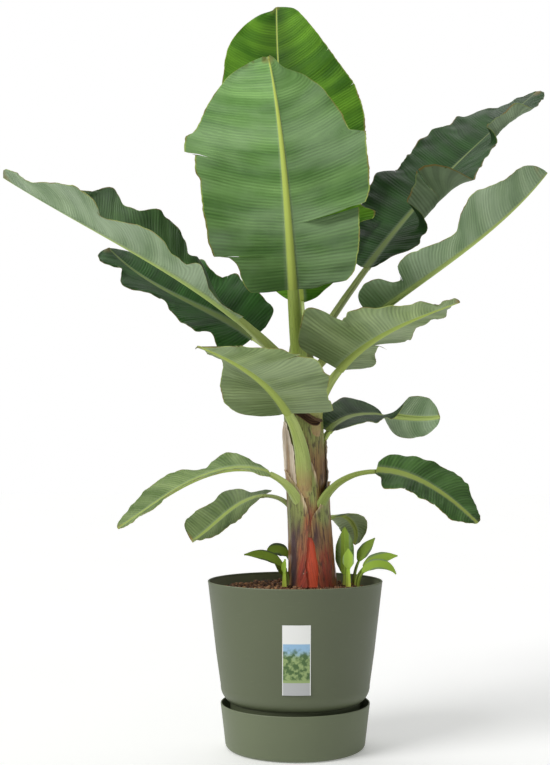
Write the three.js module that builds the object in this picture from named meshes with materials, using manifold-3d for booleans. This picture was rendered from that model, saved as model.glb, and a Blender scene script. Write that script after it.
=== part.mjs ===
// A young banana plant in a round plastic pot that stands in its saucer.
// Millimetres, +Z up. The origin is the centre of the saucer's flat underside.
// +X is to the right, +Y to the back, and the big upright leaves face front, towards -Y.

import * as THREE from 'three';
import Module from 'manifold-3d';
import { mergeVertices } from 'three/addons/utils/BufferGeometryUtils.js';

const wasm = await Module();
wasm.setup();

// ---------------------------------------------------------------- driving dimensions

const gap = 0.3;                 // clearance between pieces that touch

const potHeight = 278;           // from the surface below the saucer to the pot's rim
const potRimRadius = 147.5;
const potShoulderRadius = 125.5; // where the straight taper ends
const potShoulderHeight = 94;
const potFootRadius = 108;
const potWall = 3.5;
const potSides = 32;

const saucerHeight = 75;
const saucerRimRadius = 125.5;
const saucerBaseRadius = 117.5;
const saucerCorner = 9;
const saucerWall = 3;
const saucerFloor = 5;

const soilLevel = 262;           // at the pot's wall
const soilCrown = 269;           // the flat top of the mound
const soilCrownRadius = 74;
const soilSides = 24;

const labelWidth = 45;
const labelHeight = 112;
const labelBottom = 109;
const labelThickness = 0.8;

const stemFoot = new THREE.Vector3(29, 0, soilCrown + gap);
const stemTop = new THREE.Vector3(8, 0, 690);
const stemRadius = 33.5;         // outer radius half way up
const stemFlare = 6.5;           // extra radius where it meets the soil
const stemFlareHeight = 55;
const stemTaperStart = 0.8;      // from here the stem narrows into the leaf stalks
const stemTopRadius = 15;
const stemSides = 16;
const sheathThickness = 5;
const sheathSlack = 1.5;         // room between a sheath and the faceted stem inside it
const sheathsTop = 453;          // above this height the stem has its full radius

const bladeThickness = 2.4;
const bladeEdgeThickness = 1.6;
const bladeCurl = -8;            // degrees that each half droops on from midrib to margin
const spineSteps = 60;

// Each leaf grows from the stem at `height`, `offset` out from its axis. `heading` (0 is +X,
// 90 is +Y), `pitch` above level and `sway` to the leaf's right are degrees at its base, its
// middle and its tip. `length` is the whole leaf and `stalk` the bare part of it. `widest` under
// 1 puts the widest place nearer the base, `bluntness` over 2 squares the outline at its base or
// its tip, and the folds lift each half above its level, again at base, middle and tip. `wave` is
// the height, the number and the phase of the undulations along the margin.
const leaves = [
  {
    name: 'crown_front', height: 618, offset: 10, length: 554, stalk: 163,
    heading: [-92, -92, -92], pitch: [53, 82, 100], sway: [6, 4, 11],
    halfWidth: 142, widest: 0.83, bluntness: [4.5, 2.7], stalkWidth: [30, 19], stalkDepth: [18, 13],
    rightFold: [-40, -7, 22], leftFold: [-43, 0, 30], wave: [5, 3, 0.2],
    color: 0x5f9454,
  },
  {
    name: 'crown_back', height: 650, offset: 4, length: 688, stalk: 113,
    heading: [92, 92, 92], pitch: [69, 77, 90], sway: [2, -5, 0],
    halfWidth: 150, widest: 0.84, bluntness: [2.6, 1.9], stalkWidth: [22, 16], stalkDepth: [14, 12],
    rightFold: [-5, 8, 30], leftFold: [9, -12, -5], wave: [5, 3, 0.6],
    color: 0x4b7126,
  },
  {
    name: 'right_high', height: 650, offset: 8, length: 704, stalk: 208,
    heading: [27, 23, 11], pitch: [57, 47, 40], sway: [0, 0, 0],
    halfWidth: 124, widest: 1.1, bluntness: [3, 2], stalkWidth: [24, 16], stalkDepth: [16, 12],
    rightFold: [-17, 5, -15], leftFold: [12, 19, 3], wave: [9, 4, 0.1],
    color: 0x395f35,
  },
  {
    name: 'right_mid', height: 625, offset: 14, length: 516, stalk: 147,
    heading: [-20, -19, -14], pitch: [48, 33, 51], sway: [0, 0, 0],
    halfWidth: 116, widest: 0.75, bluntness: [2.6, 1.9], stalkWidth: [26, 16], stalkDepth: [16, 12],
    rightFold: [38, 34, 60], leftFold: [48, 52, 60], wave: [8, 4, 0.5],
    color: 0x788b6b,
  },
  {
    name: 'left_high', height: 622, offset: 14, length: 590, stalk: 148,
    heading: [222, 195, 185], pitch: [44, 29, 31], sway: [0, 0, 0],
    halfWidth: 124, widest: 1.1, bluntness: [2.8, 2.4], stalkWidth: [34, 18], stalkDepth: [20, 14],
    rightFold: [21, 45, 6], leftFold: [-2, 14, 4], wave: [6, 4, 0.3],
    color: 0x849783,
  },
  {
    name: 'left_mid', height: 628, offset: 8, length: 421, stalk: 101,
    heading: [165, 162, 180], pitch: [49, 26, 48], sway: [0, 0, 0],
    halfWidth: 112, widest: 1.1, bluntness: [2.6, 2.4], stalkWidth: [24, 16], stalkDepth: [16, 12],
    rightFold: [50, 46, 25], leftFold: [-28, -4, -18], wave: [8, 3, 0.7],
    color: 0x435841,
  },
  {
    name: 'right_front', height: 542, offset: 24, length: 346, stalk: 109,
    heading: [-52, -35, -15], pitch: [70, 30, 18], sway: [0, 0, 0],
    halfWidth: 112, widest: 1.0, bluntness: [3.4, 2], stalkWidth: [28, 16], stalkDepth: [16, 12],
    rightFold: [36, 18, 5], leftFold: [9, 9, 10], wave: [7, 3, 0.4],
    color: 0x5d7350,
  },
  {
    name: 'left_front', height: 449, offset: 26, length: 376, stalk: 130,
    heading: [-101, -127, -124], pitch: [75, 31, 11], sway: [0, 0, 0],
    halfWidth: 118, widest: 0.75, bluntness: [2.4, 1.8], stalkWidth: [30, 17], stalkDepth: [16, 12],
    rightFold: [-15, 24, 2], leftFold: [-1, 13, 0], wave: [6, 3, 0.1],
    color: 0x677d53,
  },
  {
    name: 'right_small', height: 484, offset: 24, length: 278, stalk: 50,
    heading: [22, 27, 4], pitch: [89, 2, 11], sway: [0, 0, 0],
    halfWidth: 68, widest: 1.0, bluntness: [2.6, 2.8], stalkWidth: [22, 13], stalkDepth: [14, 10],
    rightFold: [9, -13, -12], leftFold: [43, 25, 50], wave: [5, 2, 0.3],
    color: 0x4f7a3c,
  },
  {
    name: 'right_low', height: 339, offset: 24, length: 383, stalk: 192,
    heading: [-54, -23, -22], pitch: [110, 1, -43], sway: [0, 0, 0],
    halfWidth: 61, widest: 1.0, bluntness: [2.6, 2.6], stalkWidth: [30, 14], stalkDepth: [16, 10],
    rightFold: [-22, -13, -15], leftFold: [48, 34, 16], wave: [3, 3, 0.2],
    color: 0x668250,
  },
  {
    name: 'left_low', height: 364, offset: 24, length: 400, stalk: 122,
    heading: [230, 191, 204], pitch: [101, -11, -30], sway: [0, 0, 0],
    halfWidth: 52, widest: 0.75, bluntness: [2.4, 2.6], stalkWidth: [34, 15], stalkDepth: [18, 12],
    rightFold: [32, 27, 27], leftFold: [-11, 8, -5], wave: [5, 3, 0.5],
    color: 0x6f9a5c,
  },
  {
    name: 'left_lowest', height: 364, offset: 24, length: 252, stalk: 96,
    heading: [153, 160, 189], pitch: [99, -23, -32], sway: [0, 0, 0],
    halfWidth: 66, widest: 1.15, bluntness: [2.2, 3], stalkWidth: [18, 10], stalkDepth: [12, 8],
    rightFold: [8, 39, 37], leftFold: [-21, -20, 13], wave: [2, 2, 0.2],
    color: 0x567a45,
  },
  {
    name: 'right_lowest', height: 344, offset: 24, length: 162, stalk: 60,
    heading: [59, 47, 1], pitch: [48, 0, -120], sway: [0, 0, 0],
    halfWidth: 42, widest: 1.0, bluntness: [2.6, 3], stalkWidth: [14, 8], stalkDepth: [10, 7],
    rightFold: [7, 11, 2], leftFold: [-2, -10, -30], wave: [1, 2, 0.2],
    color: 0x5b7c55,
  },
];

// The suckers' leaves rise straight from the soil at `foot`, with the same terms as above.
// `tilt` drops the right half and lifts the left one.
const suckerLeaves = [
  { name: 'sucker_left_long', foot: [-10, -12], length: 106, stalk: 36, halfWidth: 10, tilt: -55,
    heading: [180, 184, 176], pitch: [96, 30, -8], fold: [10, 10, 6], color: 0x3c4f12 },
  { name: 'sucker_left_round', foot: [-8, 10], length: 92, stalk: 50, halfWidth: 13, tilt: -50,
    heading: [150, 175, 200], pitch: [100, 60, -60], fold: [10, 10, 6], color: 0x4d6509 },
  { name: 'sucker_left_dark', foot: [-16, 8], length: 44, stalk: 14, halfWidth: 9, tilt: -50,
    heading: [170, 176, 180], pitch: [90, 64, 20], fold: [10, 10, 0], color: 0x324612 },
  { name: 'sucker_left_sprout', foot: [-18, -34], length: 46, stalk: 22, halfWidth: 6, tilt: 0,
    heading: [60, 60, 60], pitch: [92, 88, 84], fold: [50, 50, 40], color: 0x8ba347 },
  { name: 'sucker_right_tall', foot: [84, -6], length: 98, stalk: 18, halfWidth: 17, tilt: 10,
    heading: [-96, -98, -100], pitch: [94, 92, 74], fold: [34, 24, 20], color: 0x3f6c2f },
  { name: 'sucker_right_shoot', foot: [88, -34], length: 64, stalk: 30, halfWidth: 10, tilt: 0,
    heading: [90, 90, 90], pitch: [88, 92, 96], fold: [30, 20, 20], color: 0x8fbf1c },
  { name: 'sucker_right_pointed', foot: [100, 12], length: 88, stalk: 40, halfWidth: 11, tilt: 50,
    heading: [20, 10, 0], pitch: [92, 62, 46], fold: [20, 10, 4], color: 0x53713c },
  { name: 'sucker_right_arched', foot: [102, -12], length: 96, stalk: 34, halfWidth: 12, tilt: 52,
    heading: [10, -8, -8], pitch: [92, 30, 4], fold: [14, 8, 4], color: 0x4d8236 },
  { name: 'sucker_right_drooping', foot: [104, -36], length: 92, stalk: 26, halfWidth: 11, tilt: 46,
    heading: [-8, -4, -10], pitch: [92, 20, -62], fold: [14, 8, 0], color: 0x5c8a4c },
].map((leaf) => ({
  ...leaf,
  sway: [0, 0, 0],
  widest: 0.9,
  bluntness: [2.2, 2.2],
  stalkWidth: [9, 6],
  stalkDepth: [7, 5],
  rightFold: leaf.fold.map((angle) => angle - leaf.tilt),
  leftFold: leaf.fold.map((angle) => angle + leaf.tilt),
  wave: [0, 1, 0],
}));

// ---------------------------------------------------------------- helpers

const radians = THREE.MathUtils.degToRad;
const lerp = THREE.MathUtils.lerp;

/** The value at s (0 to 1) of the parabola through three even stations. */
function through([start, middle, end], s) {
  return start * (1 - s) * (1 - 2 * s) + middle * 4 * s * (1 - s) + end * s * (2 * s - 1);
}

/** A solid from a geometry, for joins and cuts. */
function toSolid(geometry) {
  const bare = geometry.clone();
  bare.deleteAttribute('normal');
  bare.deleteAttribute('uv');
  const merged = mergeVertices(bare, 1e-4);
  return new wasm.Manifold(new wasm.Mesh({
    numProp: 3,
    vertProperties: new Float32Array(merged.attributes.position.array),
    triVerts: new Uint32Array(merged.index.array),
  }));
}

/** The geometry of a solid. */
function toGeometry(solid) {
  const mesh = solid.getMesh();
  const geometry = new THREE.BufferGeometry();
  geometry.setAttribute('position', new THREE.BufferAttribute(mesh.vertProperties, 3));
  geometry.setIndex(new THREE.BufferAttribute(mesh.triVerts, 1));
  return geometry;
}

/** The biggest of the separate pieces of a solid. */
function biggestPiece(solid) {
  return solid.decompose().reduce((best, piece) => (piece.volume() > best.volume() ? piece : best));
}

/**
 * One closed skin over rings of equal size. A `flat` ring is the upper edge followed by the lower
 * edge backwards: its ends are closed by strips, and its two faces bend over the same diagonals,
 * so that a twisted wall stays even. The other rings' ends are closed by fans.
 */
function loft(rings, flat = false) {
  const count = rings[0].length;
  const positions = rings.flat().flatMap((p) => [p.x, p.y, p.z]);
  const index = [];
  for (let r = 0; r + 1 < rings.length; r += 1) {
    for (let k = 0; k < count; k += 1) {
      const a = r * count + k;
      const b = r * count + ((k + 1) % count);
      if (flat && k >= count / 2) {
        index.push(a, b, a + count, b, b + count, a + count);
      } else {
        index.push(a, b, b + count, a, b + count, a + count);
      }
    }
  }
  const last = (rings.length - 1) * count;
  for (let k = 1; k < (flat ? count / 2 : count - 1); k += 1) {
    const c = flat ? count - 1 - k : 0;
    if (flat) {
      index.push(k - 1, c, k, k - 1, c + 1, c);
      index.push(last + k - 1, last + k, last + c, last + k - 1, last + c, last + c + 1);
    } else {
      index.push(0, k + 1, k, last, last + k, last + k + 1);
    }
  }
  const geometry = new THREE.BufferGeometry();
  geometry.setAttribute('position', new THREE.Float32BufferAttribute(positions, 3));
  geometry.setIndex(index);
  return geometry;
}

/** The same geometry with its faces pointing out. */
function facingOut(geometry) {
  const p = geometry.attributes.position;
  const index = geometry.index.array;
  const [a, b, c] = [0, 1, 2].map(() => new THREE.Vector3());
  let volume = 0;
  for (let k = 0; k < index.length; k += 3) {
    a.fromBufferAttribute(p, index[k]);
    b.fromBufferAttribute(p, index[k + 1]);
    c.fromBufferAttribute(p, index[k + 2]);
    volume += a.dot(b.cross(c));
  }
  if (volume < 0) index.reverse();
  return geometry;
}

// ---------------------------------------------------------------- leaf growth

/** The point on the stem's axis at a height. */
function stemAxis(height) {
  const share = (height - stemFoot.z) / (stemTop.z - stemFoot.z);
  return new THREE.Vector3().lerpVectors(stemFoot, stemTop, share);
}

/** The leaf's directions at s along it: along the midrib, to its right, and up from its face. */
function growthFrame(leaf, s) {
  const heading = radians(through(leaf.heading, s));
  const pitch = radians(through(leaf.pitch, s));
  const sway = radians(through(leaf.sway, s));
  const out = new THREE.Vector3(Math.cos(heading), Math.sin(heading), 0);
  const level = new THREE.Vector3(Math.sin(heading), -Math.cos(heading), 0);
  const rising = out.clone().multiplyScalar(Math.cos(pitch)).setZ(Math.sin(pitch));
  return {
    along: rising.clone().multiplyScalar(Math.cos(sway)).addScaledVector(level, Math.sin(sway)),
    right: level.clone().multiplyScalar(Math.cos(sway)).addScaledVector(rising, -Math.sin(sway)),
    up: out.multiplyScalar(-Math.sin(pitch)).setZ(Math.cos(pitch)),
  };
}

/** The midrib's points, from the leaf's base to its tip. */
function growSpine(leaf) {
  const heading = radians(leaf.heading[0]);
  const point = leaf.foot
    ? new THREE.Vector3(leaf.foot[0], leaf.foot[1], soilCrown + 1)
    : stemAxis(leaf.height).add(
      new THREE.Vector3(Math.cos(heading), Math.sin(heading), 0).multiplyScalar(leaf.offset));
  const points = [point.clone()];
  for (let k = 0; k < spineSteps; k += 1) {
    const { along } = growthFrame(leaf, (k + 0.5) / spineSteps);
    point.addScaledVector(along, leaf.length / spineSteps);
    points.push(point.clone());
  }
  return points;
}

/** The midrib's point at s along the leaf. */
function spineAt(spine, s) {
  const place = Math.min(Math.max(s, 0), 1) * spineSteps;
  const k = Math.min(Math.floor(place), spineSteps - 1);
  return new THREE.Vector3().lerpVectors(spine[k], spine[k + 1], place - k);
}

/** The bare stalk: a tapering limb of flattened round section. `grow` fattens it. */
function stalkGeometry(leaf, grow = 0) {
  const spine = growSpine(leaf);
  const sides = leaf.foot ? 5 : 8;
  const steps = leaf.foot ? 3 : 5;
  const end = (leaf.stalk - gap + grow) / leaf.length;
  const rings = [];
  for (let k = 0; k <= steps; k += 1) {
    const s = (end * k) / steps;
    const { right, up } = growthFrame(leaf, s);
    const halfWidth = lerp(leaf.stalkWidth[0], leaf.stalkWidth[1], k / steps) / 2 + grow;
    const halfDepth = lerp(leaf.stalkDepth[0], leaf.stalkDepth[1], k / steps) / 2 + grow;
    const ring = [];
    for (let j = 0; j < sides; j += 1) {
      const angle = (2 * Math.PI * j) / sides;
      ring.push(spineAt(spine, s)
        .addScaledVector(right, halfWidth * Math.cos(angle))
        .addScaledVector(up, halfDepth * Math.sin(angle)));
    }
    rings.push(ring);
  }
  return facingOut(loft(rings));
}

/** The blade's half width at t along the blade. */
function bladeHalfWidth(leaf, t) {
  const place = 2 * t ** leaf.widest - 1;
  const body = Math.max(0, 1 - Math.abs(place) ** leaf.bluntness[place < 0 ? 0 : 1]);
  const least = lerp(leaf.stalkWidth[1] / 2, 1.5, t);
  return Math.max(least, leaf.halfWidth * Math.sqrt(body));
}

/** The blade: two folded halves of even thickness on a midrib that stands out below. */
function bladeGeometry(leaf, grow = 0) {
  const spine = growSpine(leaf);
  const rows = leaf.foot ? 4 : 10;
  const ribShare = 0.09;
  const stops = leaf.foot ? [1] : [1, 0.55, ribShare];
  const across = [...stops.map((u) => -u), 0, ...stops.slice().reverse()];
  const curl = radians(bladeCurl);
  const rings = [];
  for (let row = 0; row <= rows; row += 1) {
    const t = (1 - Math.cos((Math.PI * row) / rows)) / 2;
    const s = (leaf.stalk + (leaf.length - leaf.stalk) * t) / leaf.length;
    const centre = spineAt(spine, s);
    const { along, right, up } = growthFrame(leaf, s);
    if (grow && row === 0) centre.addScaledVector(along, -grow);
    const width = bladeHalfWidth(leaf, t) + grow;
    const wave = leaf.wave[0] * Math.sin(2 * Math.PI * (leaf.wave[1] * t + leaf.wave[2]));
    const ribDepth = lerp(leaf.stalkDepth[1] / 2, 1, t);
    const upper = [];
    const lower = [];
    for (const u of across) {
      const side = Math.sign(u);
      const share = Math.abs(u);
      const rightFold = radians(through(leaf.rightFold, t));
      const leftFold = radians(through(leaf.leftFold, t));
      const fold = side > 0 ? rightFold : leftFold;
      const tilt = side === 0 ? (rightFold - leftFold) / 2 : side * (fold + curl * share);
      const reach = (Math.sin(fold + curl * share) - Math.sin(fold)) / curl;
      const rise = (Math.cos(fold) - Math.cos(fold + curl * share)) / curl;
      const normal = up.clone().multiplyScalar(Math.cos(tilt)).addScaledVector(right, -Math.sin(tilt));
      const point = centre.clone()
        .addScaledVector(right, side * width * reach)
        .addScaledVector(up, width * rise)
        .addScaledVector(normal, side * wave * share * share);
      const half = lerp(bladeThickness, bladeEdgeThickness, share) / 2 + grow;
      const rib = share < ribShare ? ribDepth : 0;
      upper.push(point.clone().addScaledVector(normal, half));
      lower.push(point.clone().addScaledVector(normal, -half - rib));
    }
    rings.push([...upper, ...lower.reverse()]);
  }
  return facingOut(loft(rings, true));
}

// ---------------------------------------------------------------- pot, saucer, soil, label

/** A turned piece from its outline in radius and height. */
function turned(outline, sides) {
  const closed = outline[0][0] === 0 ? outline : [...outline, outline[0]];
  const points = closed.map(([radius, height]) => new THREE.Vector2(radius, height));
  const geometry = new THREE.LatheGeometry(points, sides);
  geometry.rotateX(Math.PI / 2);
  return toGeometry(toSolid(geometry));
}

/** The corner arc of an outline, from one angle to another in degrees. */
function corner(radius, height, size, from, to, steps = 3) {
  return Array.from({ length: steps + 1 }, (_, k) => {
    const angle = radians(lerp(from, to, k / steps));
    return [radius + size * Math.cos(angle), height + size * Math.sin(angle)];
  });
}

function potGeometry() {
  const bottom = saucerFloor + gap;
  const rimRoll = potWall / 2;
  const shoulder = 12;
  const inside = potRimRadius - potWall;
  return turned([
    [0, bottom],
    [potFootRadius - 2, bottom],
    [potFootRadius + 5, potShoulderHeight - shoulder - 8],
    ...corner(potShoulderRadius - shoulder, potShoulderHeight, shoulder, -70, 0),
    [potRimRadius, potHeight - rimRoll],
    [potRimRadius - rimRoll, potHeight],
    [inside, potHeight - rimRoll],
    [potShoulderRadius - potWall - 1, potShoulderHeight],
    [potFootRadius - potWall + 3, potShoulderHeight - shoulder - 4],
    [potFootRadius - potWall - 2, bottom + potWall],
    [0, bottom + potWall],
  ], potSides);
}

/** The pot's inner radius at a height above its shoulder. */
function potInside(height) {
  const share = (height - potShoulderHeight) / (potHeight - potShoulderHeight);
  return lerp(potShoulderRadius - 1, potRimRadius, share) - potWall;
}

function saucerGeometry() {
  return turned([
    [0, 0],
    ...corner(saucerBaseRadius - saucerCorner, saucerCorner, saucerCorner, -90, -8),
    [saucerRimRadius, saucerHeight - 1],
    [saucerRimRadius - saucerWall / 2, saucerHeight],
    [saucerRimRadius - saucerWall, saucerHeight - 1],
    [saucerBaseRadius - saucerWall, saucerFloor + 5],
    [saucerBaseRadius - saucerWall - 4, saucerFloor],
    [0, saucerFloor],
  ], potSides);
}

function soilGeometry() {
  const bottom = saucerFloor + 2 * gap + potWall;
  const slack = 1.2;
  return turned([
    [0, bottom],
    [potFootRadius - potWall - 2 - slack, bottom],
    [potFootRadius - potWall + 3 - slack, potShoulderHeight - 16],
    [potInside(potShoulderHeight) - slack, potShoulderHeight],
    [potInside(soilLevel) - slack, soilLevel],
    [soilCrownRadius + 40, soilLevel + 2],
    [soilCrownRadius, soilCrown],
    [0, soilCrown],
  ], soilSides);
}

/** The plain sticker on the pot's front, bent to the pot's cone. */
function labelGeometry() {
  const columns = 4;
  const rings = [];
  for (let k = 0; k <= 2; k += 1) {
    const height = labelBottom + (labelHeight * k) / 2;
    const share = (height - potShoulderHeight) / (potHeight - potShoulderHeight);
    const radius = lerp(potShoulderRadius, potRimRadius, share) + gap;
    const arc = (away) => Array.from({ length: columns + 1 }, (_, c) => {
      const angle = ((c / columns - 0.5) * labelWidth) / radius;
      return new THREE.Vector3(
        (radius + away) * Math.sin(angle), -(radius + away) * Math.cos(angle), height);
    });
    rings.push([...arc(labelThickness), ...arc(0).reverse()]);
  }
  return facingOut(loft(rings, true));
}

// ---------------------------------------------------------------- stem and sheaths

/** The outer radius of the stem at a height, with its flare at the soil. */
function stemOuterRadius(height) {
  const share = (height - stemFoot.z) / (stemTop.z - stemFoot.z);
  const body = stemRadius + stemFlare * Math.exp((stemFoot.z - height) / stemFlareHeight);
  if (share < stemTaperStart) return body;
  const k = (share - stemTaperStart) / (1 - stemTaperStart);
  return lerp(body, stemTopRadius, k);
}

/** The stem, slimmer inside its two outer sheaths, from the soil to the top stalks. */
function stemGeometry(_, grow = 0) {
  const steps = 13;
  const rings = [];
  for (let k = 0; k <= steps; k += 1) {
    const height = lerp(stemFoot.z, stemTop.z, k / steps);
    const axis = stemAxis(height);
    const inset = height < sheathsTop ? sheathThickness + gap : 0;
    const radius = stemOuterRadius(height) - inset + grow;
    rings.push(Array.from({ length: stemSides }, (_, j) => {
      const angle = (2 * Math.PI * j) / stemSides;
      return new THREE.Vector3(Math.cos(angle), Math.sin(angle), 0).multiplyScalar(radius).add(axis);
    }));
  }
  return facingOut(loft(rings));
}

// Each outer sheath wraps the stem between a front and a back edge, whose angles (0 is +X, -90
// the front) are given at heights from the soil up. The front edges leave a narrow slit low on
// the stem, close above it, and then part in a V round the younger sheaths.
const sheaths = [
  {
    name: 'sheath_left', color: 0x6e4236,
    edges: [
      { height: stemFoot.z, front: 258, back: 94 },
      { height: 308, front: 253, back: 94 },
      { height: 368, front: 269, back: 95 },
      { height: 394, front: 269, back: 100 },
      { height: 424, front: 236, back: 128 },
      { height: sheathsTop, front: 196, back: 160 },
    ],
  },
  {
    name: 'sheath_right', color: 0x7a5a33,
    edges: [
      { height: stemFoot.z, front: -78, back: 86 },
      { height: 308, front: -73, back: 86 },
      { height: 368, front: -88, back: 85 },
      { height: 394, front: -86, back: 80 },
      { height: 414, front: -60, back: 40 },
      { height: 436, front: -34, back: 0 },
    ],
  },
];

/** A sheath: a curved wall round the stem between its two edges. */
function sheathGeometry({ edges }, grow = 0) {
  const columns = 7;
  const rings = edges.map(({ height, front, back }, row) => {
    const ends = [row === 0, row === edges.length - 1];
    const axis = stemAxis(height + (ends[1] - ends[0]) * grow);
    const outer = stemOuterRadius(height) + 2 * grow;
    const inner = outer - sheathThickness + sheathSlack - 4 * grow;
    const spread = Math.sign(front - back) * THREE.MathUtils.radToDeg(grow / inner);
    const wall = (radius) => Array.from({ length: columns + 1 }, (_, c) => {
      const angle = radians(lerp(front + spread, back - spread, c / columns));
      return new THREE.Vector3(Math.cos(angle), Math.sin(angle), 0).multiplyScalar(radius).add(axis);
    });
    return [...wall(outer), ...wall(inner).reverse()];
  });
  return facingOut(loft(rings, true));
}

// ---------------------------------------------------------------- assembly

const plant = new THREE.Group();

/** Adds a named mesh with its own material. */
function addPiece(parent, name, geometry, color, roughness) {
  const material = new THREE.MeshStandardMaterial({ color, roughness, metalness: 0 });
  const mesh = new THREE.Mesh(geometry, material);
  mesh.name = name;
  parent.add(mesh);
}

const planter = new THREE.Group();
addPiece(planter, 'pot', potGeometry(), 0x6a725e, 0.55);
addPiece(planter, 'saucer', saucerGeometry(), 0x717963, 0.55);
addPiece(planter, 'soil', soilGeometry(), 0x5a4036, 1);
addPiece(planter, 'label', labelGeometry(), 0xe8eae4, 0.4);
plant.add(planter);

// Later pieces give way to the pieces that already stand, by the usual clearance.
const standing = [];

/** Adds a piece cut clear of all that stands, and lets it stand too. */
function addClear(parent, name, shape, sizes, roughness) {
  let solid = toSolid(shape(sizes));
  for (const other of standing) {
    if (solid.intersect(other).volume() > 0) solid = biggestPiece(solid.subtract(other));
  }
  standing.push(toSolid(shape(sizes, gap)));
  addPiece(parent, name, toGeometry(solid), sizes.color, roughness);
}

const trunk = new THREE.Group();
addClear(trunk, 'pseudostem', stemGeometry, { color: 0x85543a }, 0.7);
sheaths.forEach((sheath) => addClear(trunk, sheath.name, sheathGeometry, sheath, 0.7));
plant.add(trunk);

const crown = new THREE.Group();
for (const leaf of [...leaves, ...suckerLeaves]) {
  addClear(crown, `${leaf.name}_stalk`, stalkGeometry, leaf, 0.6);
}
for (const leaf of [...leaves, ...suckerLeaves]) {
  addClear(crown, `${leaf.name}_leaf`, bladeGeometry, leaf, 0.5);
}
plant.add(crown);

export default plant;
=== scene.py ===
"""Looks of a young banana plant in a round green plastic pot that stands in its saucer.

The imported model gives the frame, and every piece here takes its place from it. Lengths inside the
classes are millimetres, and the meshes are made in metres.
"""

import logging
import math
from dataclasses import dataclass, field, replace
from enum import IntEnum

import bpy
import numpy as np
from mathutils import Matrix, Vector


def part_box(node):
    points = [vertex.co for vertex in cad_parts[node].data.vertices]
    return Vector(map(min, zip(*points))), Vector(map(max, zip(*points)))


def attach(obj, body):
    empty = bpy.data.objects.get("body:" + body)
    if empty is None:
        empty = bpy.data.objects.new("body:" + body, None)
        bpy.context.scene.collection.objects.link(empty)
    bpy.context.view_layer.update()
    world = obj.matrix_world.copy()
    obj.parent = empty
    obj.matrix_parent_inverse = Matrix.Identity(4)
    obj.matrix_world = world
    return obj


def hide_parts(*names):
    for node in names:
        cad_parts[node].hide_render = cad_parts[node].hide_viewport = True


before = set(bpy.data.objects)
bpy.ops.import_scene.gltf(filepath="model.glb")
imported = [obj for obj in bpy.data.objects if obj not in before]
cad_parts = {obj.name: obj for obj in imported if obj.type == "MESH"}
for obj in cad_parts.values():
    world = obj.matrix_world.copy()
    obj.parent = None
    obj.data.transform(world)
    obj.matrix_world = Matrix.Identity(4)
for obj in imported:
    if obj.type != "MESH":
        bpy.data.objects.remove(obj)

LOG = logging.getLogger("banana_plant")
MM = 0.001

Colour = tuple[float, float, float]
Triple = tuple[float, float, float]
Pair = tuple[float, float]
Array = np.ndarray
Material = bpy.types.Material
Node = bpy.types.Node
Piece = bpy.types.Object
Socket = bpy.types.NodeSocket
Sockets = bpy.types.NodeOutputs


class Skin(IntEnum):
    """The material numbers of a leaf blade."""

    UPPER = 0
    UNDER = 1
    MARGIN = 2


class Half(IntEnum):
    """The two halves of a blade, seen from above with the tip ahead."""

    RIGHT = 1
    LEFT = -1


# ---- small sums


def colour(red: int, green: int, blue: int) -> Colour:
    """The linear colour of three display values from 0 to 255."""
    return tuple(
        v / 12.92 if v <= 0.04045 else ((v + 0.055) / 1.055) ** 2.4
        for v in (red / 255, green / 255, blue / 255)
    )


def through(stations: Triple, s: Array) -> Array:
    """The values at s (0 to 1) of the parabola through three even stations."""
    start, middle, end = stations
    return start * (1 - s) * (1 - 2 * s) + middle * 4 * s * (1 - s) + end * s * (2 * s - 1)


def blend(start: float, end: float, share: Array) -> Array:
    """A straight change from start to end."""
    return start + (end - start) * share


def ease(value: Array) -> Array:
    """A smooth step from 0 to 1 as value goes from 0 to 1."""
    v = np.clip(value, 0, 1)
    return v * v * (3 - 2 * v)


def stacked(*parts: Array) -> Array:
    """Arrays spread to one shape, as the coordinates of points."""
    return np.stack(np.broadcast_arrays(*parts), axis=-1)


def window(value: Array, start: float, end: float, soft: float) -> Array:
    """A smooth 1 between start and end, falling to 0 over soft on either side."""
    return ease((value - start) / soft + 0.5) * ease((end - value) / soft + 0.5)


def ripples(places: Array, seed: int, count: int = 7, rise: float = 1.35) -> Array:
    """Smooth random waves over places.

    Args:
        places: an array (..., n) of coordinates in which one unit is the longest wave.
        seed: chooses the waves.
        count: how many waves are added.
        rise: how much faster each wave is than the last.

    Returns:
        An array of the shape of places without its last axis, mostly within -1 to 1.
    """
    rng = np.random.default_rng(seed)
    total = np.zeros(places.shape[:-1])
    for k in range(count):
        direction = rng.normal(size=places.shape[-1])
        direction *= rise**k / np.linalg.norm(direction)
        total += np.sin(2 * np.pi * (places @ direction + rng.random())) / rise ** (0.8 * k)
    return total / 2.2


# ---- meshes


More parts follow.
